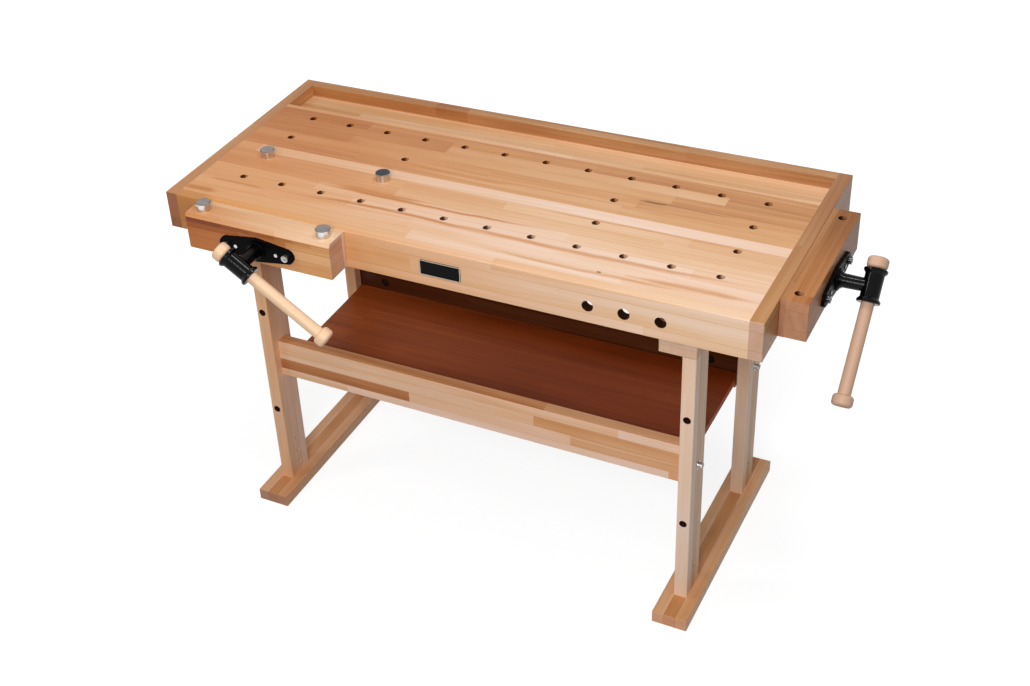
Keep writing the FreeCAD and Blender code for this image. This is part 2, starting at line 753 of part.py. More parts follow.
def stretcher_fasteners():
    """Bolts, washers, barrel nuts and dowels at the four joints, one node for each kind."""
    seats = [(y, "Size.stretcher_middle_z") for y in POST_Y.values()]

    washers = part_body("stretcher_washers")
    ring = cylinders(washers, "washer_rings", "YZ_Plane", [(y, z, "Size.washer_dia") for y, z in seats],
                     POST_OUT, "Size.washer_thick")
    eye = drill(washers, "washer_eyes", "YZ_Plane", [(y, z, "Size.bolt_hole_dia") for y, z in seats],
                POST_OUT, "Size.washer_thick", 1)
    mirrored(washers, [ring, eye], "YZ_Plane")

    bolts = part_body("stretcher_bolts")
    seat_x = POST_OUT + " + Size.washer_thick"
    head = cylinders(bolts, "bolt_heads", "YZ_Plane", [(y, z, "Size.bolt_head_dia") for y, z in seats],
                     seat_x, "Size.bolt_head_height")
    shank = cylinders(bolts, "bolt_shanks", "YZ_Plane", [(y, z, "Size.bolt_dia") for y, z in seats],
                      seat_x, "Size.bolt_length", -1)
    sketch = sketch_on(bolts, "bolt_sockets", "YZ_Plane", seat_x + " + Size.bolt_head_height")
    for y, z in seats:
        draw_hexagon(sketch, y, z, "Size.bolt_socket")
    socket = cut(bolts, sketch, "YZ_Plane", "Size.bolt_socket_depth", -1)
    mirrored(bolts, [head, shank, socket], "YZ_Plane")

    nuts = part_body("barrel_nuts")
    barrels = []
    for row, y in POST_Y.items():
        low, high = around(y, "Size.nut_length")
        barrels.append(cylinders(nuts, row + "_barrels", "XZ_Plane",
                                 [(NUT_X, "Size.stretcher_middle_z", "Size.nut_dia")], low,
                                 "Size.nut_length"))
    thread = drill(nuts, "barrel_threads", "YZ_Plane",
                   [(y, z, "Size.bolt_dia + Size.seat_fit * 2") for y, z in seats],
                   NUT_X + " - Size.nut_dia", "Size.nut_dia * 2", 1)
    mirrored(nuts, barrels + [thread], "YZ_Plane")

    dowels = part_body("stretcher_dowels")
    pins = [(y, z + sign + "Size.joint_hole_pitch", "Size.dowel_dia")
            for y, z in seats for sign in (" - ", " + ")]
    pin = cylinders(dowels, "dowel_pins", "YZ_Plane", pins, POST_IN + " - Size.dowel_in_stretcher",
                    "Size.dowel_in_stretcher + Size.dowel_in_post")
    mirrored(dowels, [pin], "YZ_Plane")


def shelf():
    """The shelf board, on cleats along both stretchers."""
    front, inward = inner_face("front")
    rear, outward = inner_face("rear")
    ends = POST_IN + " - Size.shelf_end_gap"
    body = box("shelf", (minus(ends), ends), (front + " + Size.shelf_side_gap", rear + " - Size.shelf_side_gap"),
               (CLEAT_TOP, CLEAT_TOP + " + Size.shelf_thick"))
    ease(body, "Size.small_round", "0-+ 0++ -0+ +0+")


def shelf_cleats():
    """Two cleats, each with four screws into its stretcher."""
    screws = part_body("cleat_screws")
    height = STRETCHER_LOW + " + Size.cleat_height / 2"
    places = [(sided(sign, x), height) for x in SCREW_X for side, sign in SIDES]
    for row in ("front", "rear"):
        face, inward = inner_face(row)
        far = face + (" + " if inward < 0 else " - ") + "Size.cleat_width"
        depth = (face, far) if inward < 0 else (far, face)
        ends = POST_IN + " - Size.shelf_end_gap"
        cleat = box(row + "_shelf_cleat", (minus(ends), ends), depth, (STRETCHER_LOW, CLEAT_TOP))
        drill(cleat, row + "_cleat_holes", "XZ_Plane",
              [(x, z, "Size.cleat_screw_dia + Size.seat_fit * 2") for x, z in places])
        cylinders(screws, row + "_cleat_screw_heads", "XZ_Plane",
                  [(x, z, "Size.cleat_screw_head_dia") for x, z in places], far,
                  "Size.cleat_screw_head", -inward)
        cylinders(screws, row + "_cleat_screw_shanks", "XZ_Plane",
                  [(x, z, "Size.cleat_screw_dia") for x, z in places], far,
                  "Size.cleat_width + Size.cleat_screw_bite", inward)


# ---------------------------------------------------------------- the vises
# Both vises are drawn in one frame of their own: its origin is on the screw's axis at the jaw's
# outer face, -Y points out of the bench and X runs along the jaw. Each is then put in its place.

class Vise:
    """The sizes and the place of one vise."""

    def __init__(self, name, wall, degrees):
        self.name = name
        self.thick = "Size.%s_jaw_thick" % name
        self.length = "Size.%s_jaw_length" % name
        self.dog_inset = "Size.%s_jaw_dog_inset" % name
        self.pitch = "Size.dog_pitch_x" if name == "front" else "Size.dog_pitch_y"
        self.angle = "Size.%s_handle_angle" % name
        self.back = self.thick + " + Size.jaw_lining"
        self.wall_in = self.back + " + Size.face_gap + " + wall
        self.degrees = degrees
        out = " + Size.face_gap + Size.jaw_lining + " + self.thick
        if name == "front":
            self.seat = (minus(VISE_X), minus(BACK + out), AXIS_Z)
        else:
            self.seat = (RIGHT_END + out, ROWS_Y, AXIS_Z)

    def body(self, piece):
        """A body in the vise's frame."""
        body = part_body("%s_%s" % (self.name, piece))
        place(body, *self.seat, degrees=self.degrees)
        return body


RODS = (minus(ROD_OFF), ROD_OFF)
JAW_TOP = "Size.vise_axis_drop"
JAW_LOW = "Size.vise_axis_drop - Size.jaw_height"
FLANGE_FACE = "-(Size.flange_thick)"
NECK_FACE = "-(Size.flange_thick + Size.boss_height + Size.face_gap)"


def vise_jaw(vise):
    """The wooden jaw with two dog holes, and its lining. The front jaw's top outer edge is bevelled."""
    half = vise.length + " / 2"
    rod_hole = "Size.rod_dia + Size.seat_fit * 2"
    body = vise.body("jaw")
    sketch = sketch_on(body, vise.name + "_jaw_outline", "YZ_Plane", minus(half))
    corners = [("0", JAW_LOW), (vise.thick, JAW_LOW), (vise.thick, JAW_TOP)]
    rounded = "0-- --0 +-0 -0- +0-"
    if vise.name == "front":
        corners += [("Size.jaw_bevel_in", JAW_TOP), ("0", JAW_TOP + " - Size.jaw_bevel_down")]
    else:
        corners.append(("0", JAW_TOP))
        rounded += " 0-+"
    draw_outline(sketch, corners)
    pad(body, sketch, "YZ_Plane", vise.length)
    ease(body, "Size.small_round", rounded)
    drill(body, vise.name + "_jaw_rod_holes", "XZ_Plane", [(x, "0", rod_hole) for x in RODS]
          + [("0", "0", "Size.screw_hole_dia")])
    drill(body, vise.name + "_jaw_pilots", "XZ_Plane",
          [(x, "0", "Size.flange_screw_dia + Size.seat_fit * 2")
           for x in ("-(Size.flange_screw_spacing / 2)", "Size.flange_screw_spacing / 2")],
          "0", "Size.flange_screw_bite", 1)
    drill(body, vise.name + "_jaw_dog_holes", "XY_Plane",
          [(sign + vise.pitch + " * 1.5", vise.dog_inset, "Size.dog_hole_dia") for sign in ("-", "")])
    ease_holes(body, vise.name + "_jaw_hole_ease")

    lining = vise.body("jaw_lining")
    sketch = sketch_on(lining, vise.name + "_lining_outline", "XZ_Plane", vise.thick)
    draw_rectangle(sketch, (minus(half), half), (JAW_LOW, JAW_TOP))
    pad(lining, sketch, "XZ_Plane", "Size.jaw_lining")
    ease(lining, "Size.small_round", "0++ 0+- -+0 ++0")
    drill(lining, vise.name + "_lining_holes", "XZ_Plane", [(x, "0", rod_hole) for x in RODS]
          + [("0", "0", "Size.collar_pocket_dia")])


def flange_outline(sketch):
    """The flange's outline: a middle circle and two smaller end circles, joined by tangent lines."""
    middle = value("Size.flange_middle_radius")
    end = value("Size.flange_end_radius")
    reach = value(ROD_OFF)
    lean = math.acos((middle - end) / reach)
    up = Vector(0, 0, 1)
    right = Part.ArcOfCircle(Part.Circle(Vector(reach, 0, 0), up, end), -lean, lean)
    top = Part.ArcOfCircle(Part.Circle(Vector(), up, middle), lean, math.pi - lean)
    left = Part.ArcOfCircle(Part.Circle(Vector(-reach, 0, 0), up, end), math.pi - lean, math.pi + lean)
    low = Part.ArcOfCircle(Part.Circle(Vector(), up, middle), math.pi + lean, 2 * math.pi - lean)
    arcs = [right, top, left, low]
    for arc in arcs:
        sketch.addGeometry(arc, False)
    for index, arc in enumerate(arcs):
        following = arcs[(index + 1) % 4]
        line = sketch.addGeometry(Part.LineSegment(arc.EndPoint, following.StartPoint), False)
        sketch.addConstraint(Sketcher.Constraint("Tangent", index, 2, line, 1))
        sketch.addConstraint(Sketcher.Constraint("Tangent", line, 2, (index + 1) % 4, 1))
    places = ((ROD_OFF, "Size.flange_end_radius"), ("0", "Size.flange_middle_radius"),
              (minus(ROD_OFF), "Size.flange_end_radius"), ("0", "Size.flange_middle_radius"))
    for index, (across, radius) in enumerate(places):
        pin_point(sketch, index, 3, across, "0")
        datum = sketch.addConstraint(Sketcher.Constraint("Radius", index, value(radius)))
        sketch.setExpression("Constraints[%d]" % datum, radius)


def vise_flange(vise):
    """The cast flange with its boss, the two bolts that hold the guide rods, and two screws."""
    body = vise.body("flange")
    sketch = sketch_on(body, vise.name + "_flange_outline", "XZ_Plane")
    flange_outline(sketch)
    pad(body, sketch, "XZ_Plane", "Size.flange_thick", -1)
    front = -value("Size.flange_thick")
    fillet(body, vise.name + "_flange_rim", "Size.flange_round",
           lambda edge: abs(edge.BoundBox.YMin - front) < SAME and abs(edge.BoundBox.YMax - front) < SAME)
    cylinders(body, vise.name + "_flange_boss", "XZ_Plane", [("0", "0", "Size.boss_radius * 2")],
              FLANGE_FACE, "Size.boss_height", -1)
    boss_front = front - value("Size.boss_height")
    fillet(body, vise.name + "_boss_rim", "Size.flange_round",
           lambda edge: abs(edge.BoundBox.YMin - boss_front) < SAME
           and abs(edge.BoundBox.YMax - boss_front) < SAME)
    screws = ("-(Size.flange_screw_spacing / 2)", "Size.flange_screw_spacing / 2")
    drill(body, vise.name + "_flange_holes", "XZ_Plane",
          [("0", "0", "Size.screw_dia + Size.running_fit * 2")]
          + [(x, "0", "Size.bolt_dia + Size.seat_fit * 2") for x in RODS]
          + [(x, "0", "Size.flange_screw_dia + Size.seat_fit * 2") for x in screws])

    bolts = vise.body("rod_bolts")
    cylinders(bolts, vise.name + "_rod_bolt_heads", "XZ_Plane",
              [(x, "0", "Size.rod_bolt_head_dia") for x in RODS], FLANGE_FACE, "Size.rod_bolt_head", -1)
    cylinders(bolts, vise.name + "_rod_bolt_shanks", "XZ_Plane", [(x, "0", "Size.bolt_dia") for x in RODS],
              FLANGE_FACE, "Size.flange_thick + Size.rod_bolt_bite")
    sketch = sketch_on(bolts, vise.name + "_rod_bolt_sockets", "XZ_Plane",
                       FLANGE_FACE + " - Size.rod_bolt_head")
    for x in RODS:
        draw_hexagon(sketch, x, "0", "Size.bolt_socket")
    cut(bolts, sketch, "XZ_Plane", "Size.rod_bolt_socket_depth", 1)

    small = vise.body("flange_screws")
    cylinders(small, vise.name + "_flange_screw_heads", "XZ_Plane",
              [(x, "0", "Size.flange_screw_head_dia") for x in screws], FLANGE_FACE,
              "Size.flange_screw_head", -1)
    cylinders(small, vise.name + "_flange_screw_shanks", "XZ_Plane",
              [(x, "0", "Size.flange_screw_dia") for x in screws], FLANGE_FACE,
              "Size.flange_thick + Size.flange_screw_bite")


def vise_rods(vise):
    """Two guide rods, tapped for the flange's bolts."""
    body = vise.body("guide_rods")
    cylinders(body, vise.name + "_rods", "XZ_Plane", [(x, "0", "Size.rod_dia") for x in RODS],
              "0", "Size.rod_length")
    far = value("Size.rod_length")
    fillet(body, vise.name + "_rod_ends", "Size.rod_end_round",
           lambda edge: abs(edge.BoundBox.YMin - far) < SAME and abs(edge.BoundBox.YMax - far) < SAME)
    drill(body, vise.name + "_rod_threads", "XZ_Plane",
          [(x, "0", "Size.bolt_dia + Size.seat_fit * 2") for x in RODS], "0", "Size.rod_bolt_bite", 1)


def vise_screw(vise):
    """The screw, its T-shaped hub and the collar that draws the jaw back."""
    screw = vise.body("screw")
    near = NECK_FACE + " - Size.screw_socket"
    cylinders(screw, vise.name + "_screw_stock", "XZ_Plane", [("0", "0", "Size.screw_dia")],
              near, "Size.screw_reach - (%s)" % near)
    far = value("Size.screw_reach")
    fillet(screw, vise.name + "_screw_end", "Size.rod_end_round",
           lambda edge: abs(edge.BoundBox.YMin - far) < SAME and abs(edge.BoundBox.YMax - far) < SAME)

    hub = vise.body("handle_hub")
    ring_end = NECK_FACE + " - Size.neck_ring_width"
    step_end = NECK_FACE + " - Size.neck_ring_width * 2"
    centre = "-(Size.hub_reach)"
    neck = ((centre, "0"), (centre, "Size.neck_top_radius"), (step_end, "Size.neck_root_radius"),
            (step_end, "Size.neck_step_radius"), (ring_end, "Size.neck_step_radius"),
            (ring_end, "Size.neck_ring_radius"), (NECK_FACE, "Size.neck_ring_radius"), (NECK_FACE, "0"))
    turned(hub, vise.name + "_hub_neck", "YZ_Plane", [neck], "H_Axis")
    end = "Size.hub_length / 2"
    rim = end + " - Size.hub_rim_width"
    flare = rim + " - Size.hub_flare"
    profile = ((minus(end), "0"), (minus(end), "Size.hub_rim_radius - Size.hub_rim_bevel"),
               ("-(%s - Size.hub_rim_bevel)" % end, "Size.hub_rim_radius"),
               (minus(rim), "Size.hub_rim_radius"), (minus(flare), "Size.hub_body_radius"),
               (flare, "Size.hub_body_radius"), (rim, "Size.hub_rim_radius"),
               (end + " - Size.hub_rim_bevel", "Size.hub_rim_radius"),
               (end, "Size.hub_rim_radius - Size.hub_rim_bevel"), (end, "0"))
    turned(hub, vise.name + "_hub_tee", "XZ_Plane", [profile], "H_Axis", centre, vise.angle)
    bore = "Size.handle_dia / 2 + Size.running_fit"
    bore_profile = ((minus("Size.hub_length"), "0"), (minus("Size.hub_length"), bore),
                    ("Size.hub_length", bore), ("Size.hub_length", "0"))
    turned(hub, vise.name + "_hub_bore", "XZ_Plane", [bore_profile], "H_Axis", centre, vise.angle, True)
    drill(hub, vise.name + "_hub_socket", "XZ_Plane", [("0", "0", "Size.screw_dia + Size.seat_fit * 2")],
          NECK_FACE, "Size.screw_socket", -1)

    collar = vise.body("screw_collar")
    seat = vise.thick + " + Size.face_gap"
    cylinders(collar, vise.name + "_collar_ring", "XZ_Plane", [("0", "0", "Size.collar_dia")],
              seat, "Size.collar_width")
    drill(collar, vise.name + "_collar_bore", "XZ_Plane", [("0", "0", "Size.screw_dia + Size.seat_fit * 2")])


def vise_bracket(vise):
    """The casting behind the bench's edge that guides the rods and holds the nut, and its screws."""
    body = vise.body("nut_bracket")
    reach = ROD_OFF + " + Size.bracket_boss_radius + Size.bracket_margin"
    sketch = sketch_on(body, vise.name + "_bracket_plate", "XZ_Plane", vise.wall_in)
    draw_rectangle(sketch, (minus(reach), reach),
                   ("-(Size.bracket_drop)", "Size.vise_axis_drop - Size.panel_thick - Size.face_gap"))
    pad(body, sketch, "XZ_Plane", "Size.bracket_plate")
    far = vise.wall_in + " + Size.bracket_plate"
    cylinders(body, vise.name + "_bracket_bosses", "XZ_Plane",
              [(x, "0", "Size.bracket_boss_radius * 2") for x in (RODS[0], "0", RODS[1])],
              far, "Size.bracket_boss_length")
    drill(body, vise.name + "_bracket_bores", "XZ_Plane",
          [(x, "0", "Size.rod_dia + Size.running_fit * 2") for x in RODS]
          + [("0", "0", "Size.screw_dia + Size.running_fit * 2")])
    drill(body, vise.name + "_bracket_holes", "XZ_Plane",
          bracket_screw_holes("0", "0", "Size.bracket_screw_dia + Size.seat_fit * 2"))

    screws = vise.body("bracket_screws")
    sketch = sketch_on(screws, vise.name + "_bracket_screw_heads", "XZ_Plane", far)
    for across, up, diameter in bracket_screw_holes("0", "0", "Size.bracket_screw_dia"):
        draw_hexagon(sketch, across, up, "Size.bracket_screw_flats")
    pad(screws, sketch, "XZ_Plane", "Size.bracket_screw_head")
    cylinders(screws, vise.name + "_bracket_screw_shanks", "XZ_Plane",
              bracket_screw_holes("0", "0", "Size.bracket_screw_dia"), far,
              "Size.bracket_plate + Size.bracket_screw_bite", -1)


def vise_handle(vise):
    """The wooden bar that slides through the hub, with a knob glued on each end."""
    upper = "Size.hub_length / 2 + Size.face_gap + Size.knob_length"
    lower = "(%s) - Size.handle_length" % upper
    plane_y = "-(Size.hub_reach)"
    bar = vise.body("handle_bar")
    radius = "Size.handle_dia / 2"
    turned(bar, vise.name + "_bar", "XZ_Plane",
           [((lower + " + Size.knob_wall", "0"), (lower + " + Size.knob_wall", radius),
             (upper + " - Size.knob_wall", radius), (upper + " - Size.knob_wall", "0"))],
           "H_Axis", plane_y, vise.angle)
    knobs = vise.body("handle_knobs")
    outer = "Size.knob_dia / 2"
    seat = radius + " + Size.seat_fit"
    profiles = []
    for tip, toward in ((upper, -1), (lower, 1)):
        sign = " + " if toward > 0 else " - "
        mouth = tip + sign + "Size.knob_length"
        floor = tip + sign + "Size.knob_wall"
        profiles.append(((tip, "0"), (tip, outer), (mouth, outer), (mouth, seat), (floor, seat), (floor, "0")))
    turned(knobs, vise.name + "_knobs", "XZ_Plane", profiles, "H_Axis", plane_y, vise.angle)
    wide = value(outer)
    fillet(knobs, vise.name + "_knob_rims", "Size.knob_round",
           lambda edge: hasattr(edge.Curve, "Radius") and abs(edge.Curve.Radius - wide) < SAME)


def vises():
    """The front vise and the end vise, piece by piece."""
    for vise in (Vise("front", "Size.apron_thick", 0), Vise("end", "Size.cap_width", 90)):
        vise_jaw(vise)
        vise_flange(vise)
        vise_rods(vise)
        vise_screw(vise)
        vise_bracket(vise)
        vise_handle(vise)


# ---------------------------------------------------------------- bench dogs

def dogs():
    """Four round steel dogs, two in the top and two in the front jaw."""
    jaw_y = minus(BACK + " + Size.face_gap + Size.jaw_lining + Size.front_jaw_thick") \
        + " + Size.front_jaw_dog_inset"
    row_y = ROWS_Y + " - Size.dog_pitch_y * 0.5"
    shank = "Size.dog_hole_dia / 2 - Size.dog_fit"
    head = "Size.dog_head_dia / 2"
    profile = (("0", "-(Size.dog_shank_length)"), (shank + " - Size.dog_head_bevel", "-(Size.dog_shank_length)"),
               (shank, "-(Size.dog_shank_length - Size.dog_head_bevel)"), (shank, "0"), (head, "0"),
               (head, "Size.dog_head_height - Size.dog_head_bevel"),
               (head + " - Size.dog_head_bevel", "Size.dog_head_height"), ("0", "Size.dog_head_height"))
    for group, y in (("bench", row_y), ("jaw", jaw_y)):
        for side, beside in (("left", " - Size.dog_pitch_x * 1.5"), ("right", " + Size.dog_pitch_x * 1.5")):
            label = "%s_dog_%s" % (group, side)
            body = part_body(label)
            place(body, minus(VISE_X) + beside, y, TOP)
            turned(body, label + "_profile", "XZ_Plane", [profile], "V_Axis")


# ---------------------------------------------------------------- build, check and write

def check_and_write():
    """Stop on any failed object or bad shape, then write one STEP file for each part."""
    doc.recompute()
    failed = [item.Name for item in doc.Objects if {"Invalid", "Error"} & set(item.State)]
    if failed:
        raise RuntimeError("failed objects: %s" % ", ".join(failed))
    for body in PARTS:
        if body.Shape.isNull() or not body.Shape.isValid():
            raise RuntimeError("%s has no valid shape" % body.Label)
    os.makedirs("parts", exist_ok=True)
    for body in PARTS:
        body.Shape.exportStep("parts/%s.step" % body.Label)
        print("%-22s %2d solid(s) %12.0f mm3" % (body.Label, len(body.Shape.Solids), body.Shape.Volume))
    print(len(PARTS), "parts")


top_panel()
front_apron()
back_rail()
end_caps()
well_floor()
battens()
name_plate()
feet()
bearers()
bearer_bolts()
posts()
stretchers()
stretcher_fasteners()
shelf()
shelf_cleats()
vises()
dogs()
check_and_write()
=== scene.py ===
# %% [markdown]
# # A beech woodworking bench with two vises
# The bench's solids come ready made, with every hole, tenon and screw in its place. This lesson
# gives them their looks: glued-up beech with its grain, black enamel, bright steel, and the cut
# threads of the two vise screws. It starts by loading the solids, because everything that is made
# later is placed and sized from them.

# %% Load the solids
import math

import bmesh
import bpy
from mathutils import Matrix, Vector


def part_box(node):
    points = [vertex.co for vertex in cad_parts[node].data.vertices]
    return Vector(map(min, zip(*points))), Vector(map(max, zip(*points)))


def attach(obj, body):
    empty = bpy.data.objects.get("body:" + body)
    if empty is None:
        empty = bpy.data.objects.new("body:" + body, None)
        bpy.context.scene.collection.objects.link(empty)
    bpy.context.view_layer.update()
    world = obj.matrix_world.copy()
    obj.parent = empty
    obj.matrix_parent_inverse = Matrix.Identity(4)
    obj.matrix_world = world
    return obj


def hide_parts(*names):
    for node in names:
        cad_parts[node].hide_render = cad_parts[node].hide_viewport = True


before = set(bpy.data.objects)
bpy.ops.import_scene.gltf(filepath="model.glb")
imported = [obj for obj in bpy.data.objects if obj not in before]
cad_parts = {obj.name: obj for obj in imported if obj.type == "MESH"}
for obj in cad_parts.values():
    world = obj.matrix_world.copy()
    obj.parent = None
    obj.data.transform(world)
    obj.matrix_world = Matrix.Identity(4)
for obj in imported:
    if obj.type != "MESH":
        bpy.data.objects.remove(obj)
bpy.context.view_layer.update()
print("solids loaded:", len(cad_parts))

# %% [markdown]
# Boards are easier to talk about from the middle of the top: x to the right, y to the back and z
# up, in metres. A place on the bench is given that way below, and moved to the model's own origin
# by one vector, which is measured from the top's own boards.

# %% The middle of the top
panel_low, panel_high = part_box("top_panel")
FRONT_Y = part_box("front_apron")[0][1]
BACK_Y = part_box("back_rail")[1][1]
TOP_MIDDLE = Vector(((panel_low[0] + panel_high[0]) / 2, (FRONT_Y + BACK_Y) / 2, 0))
TOP_HEIGHT = panel_high[2]
print("middle of the top:", tuple(round(v, 4) for v in TOP_MIDDLE))

# %% [markdown]
# ## A small language for shader nodes
# A finish is a recipe of many small nodes, and wiring each by hand hides the idea. This class
# wires them, so that a recipe reads as a list of steps: a number, a colour or another node's
# output may be given wherever a socket wants a value.

# %% Wire nodes by name
def shade(red, green, blue):
    """A paint-chart colour, 0 to 255, as the linear colour that a shader wants."""
    def linear(level):
        level /= 255
        return level / 12.92 if level <= 0.04045 else ((level + 0.055) / 1.055) ** 2.4
    return (linear(red), linear(green), linear(blue), 1.0)


class Graph:
    """One node tree, and short ways to add to it."""

    def __init__(self, tree):
        self.tree = tree

    def node(self, kind, **settings):
        made = self.tree.nodes.new(kind)
        for name, setting in settings.items():
            setattr(made, name, setting)
        return made

    def feed(self, socket, value):
        if isinstance(value, bpy.types.NodeSocket):
            self.tree.links.new(value, socket)
        else:
            socket.default_value = value

    def math(self, operation, *values):
        made = self.node("ShaderNodeMath", operation=operation)
        for socket, value in zip(made.inputs, values):
            self.feed(socket, value)
        return made.outputs[0]

    def plus(self, first, *others):
        for other in others:
            first = self.math("ADD", first, other)
        return first

    def times(self, first, second):
        return self.math("MULTIPLY", first, second)

    def about_zero(self, value, size):
        """A 0 to 1 pattern, moved to swing about zero by the size given."""
        return self.math("MULTIPLY_ADD", value, size, -size / 2)

    def spread(self, value, low, high, to_low=0.0, to_high=1.0):
        """Turn low..high into to_low..to_high with soft ends."""
        made = self.node("ShaderNodeMapRange", interpolation_type="SMOOTHSTEP")
        for name, number in (("Value", value), ("From Min", low), ("From Max", high),
                             ("To Min", to_low), ("To Max", to_high)):
            self.feed(made.inputs[name], number)
        return made.outputs["Result"]

    def vector(self, x, y, z):
        made = self.node("ShaderNodeCombineXYZ")
        for socket, value in zip(made.inputs, (x, y, z)):
            self.feed(socket, value)
        return made.outputs[0]

    def split(self, vector):
        made = self.node("ShaderNodeSeparateXYZ")
        self.feed(made.inputs[0], vector)
        return made.outputs[:3]

    def noise(self, places, scales, detail=2.0, roughness=0.5):
        """Soft noise that is stretched by a scale of its own in each direction."""
        made = self.node("ShaderNodeTexNoise")
        made.inputs["Scale"].default_value = 1.0
        made.inputs["Detail"].default_value = detail
        made.inputs["Roughness"].default_value = roughness
        scaled = [self.times(place, scale) for place, scale in zip(places, scales)]
        self.feed(made.inputs["Vector"], self.vector(*scaled))
        return made.outputs[0]

    def noise_along(self, value, scale, detail=1.0):
        """Soft noise of one number."""
        made = self.node("ShaderNodeTexNoise", noise_dimensions="1D")
        made.inputs["Detail"].default_value = detail
        made.inputs["Scale"].default_value = scale
        self.feed(made.inputs["W"], value)
        return made.outputs[0]

    def luck(self, first, second=0.0):
        """Three unrelated numbers, 0 to 1, that stay the same for the same input."""
        made = self.node("ShaderNodeTexWhiteNoise", noise_dimensions="2D")
        self.feed(made.inputs["Vector"], self.vector(first, second, 0.0))
        parts = self.node("ShaderNodeSeparateColor")
        self.feed(parts.inputs[0], made.outputs["Color"])
        return parts.outputs[:3]

    def ramp(self, value, stops, stepped=False):
        """A colour that follows a number. Stepped stops hold until the next one."""
        made = self.node("ShaderNodeValToRGB")
        band = made.color_ramp
        band.interpolation = "CONSTANT" if stepped else "LINEAR"
        while len(band.elements) < len(stops):
            band.elements.new(1.0)
        for element, (place, colour) in zip(band.elements, stops):
            element.position = place
            element.color = colour
        self.feed(made.inputs[0], value)
        return made.outputs[0]

    def blend(self, share, first, second, how="MIX"):
        """Mix or multiply two colours by a share."""
        made = self.node("ShaderNodeMix", data_type="RGBA", blend_type=how)
        self.feed(made.inputs["Factor"], share)
        self.feed(made.inputs[6], first)
        self.feed(made.inputs[7], second)
        return made.outputs[2]

    def bump(self, height, strength, distance):
        """The normal of a surface that is raised by a height."""
        made = self.node("ShaderNodeBump")
        made.inputs["Strength"].default_value = strength
        made.inputs["Distance"].default_value = distance
        self.feed(made.inputs["Height"], height)
        return made.outputs[0]

    def background_seen(self):
        """1 for the camera, reflections and rays through clear bodies, 0 for other light."""
        path = self.node("ShaderNodeLightPath")
        seen = self.math("MAXIMUM", path.outputs["Is Camera Ray"], path.outputs["Is Glossy Ray"])
        return self.math("MAXIMUM", seen, path.outputs["Is Transmission Ray"])


def new_material(name):
    """A material with its graph and its shader, ready to be wired."""
    material = bpy.data.materials.new(name)
    material.use_nodes = True
    shader = material.node_tree.nodes["Principled BSDF"]
    return material, Graph(material.node_tree), shader


def new_group(name, inputs, outputs):
    """A node group with number inputs, ready to be filled."""
    tree = bpy.data.node_groups.new(name, "ShaderNodeTree")
    for label in inputs:
        tree.interface.new_socket(name=label, in_out="INPUT", socket_type="NodeSocketFloat")
    for label, kind in outputs:
        tree.interface.new_socket(name=label, in_out="OUTPUT", socket_type="NodeSocket" + kind)
    graph = Graph(tree)
    taken = graph.node("NodeGroupInput").outputs
    given = graph.node("NodeGroupOutput").inputs
    return graph, taken, given


def use_group(graph, name, **values):
    """Place a group in a material and return its outputs."""
    made = graph.node("ShaderNodeGroup", node_tree=bpy.data.node_groups[name])
    for label, value in values.items():
        graph.feed(made.inputs[label], value)
    return made.outputs


print("node helpers ready")

# %% [markdown]
# ## Beech
# Beech is a pale, pinkish wood with quiet growth rings. A board shows them as long nearly straight
# lines where the saw ran square to the rings, and as nested arches where it ran along them. A
# painted stripe pattern could copy one board, but not the end of the same board. So the grain here
# is a small piece of a tree: rings are distances from a pith line that lies beside the board and
# leans a little. Faces, edges and ends all cut through the same rings and agree where they meet.

# %% The colours of beech, from palest to darkest
BEECH_TONES = (
    (0.00, shade(249, 223, 205)),
    (0.25, shade(238, 199, 161)),
    (0.50, shade(218, 165, 114)),
    (0.75, shade(184, 122, 72)),
    (1.00, shade(134, 76, 40)),
)
END_GRAIN_COLOUR = shade(222, 188, 168)
ROSY_TINT = shade(254, 246, 241)


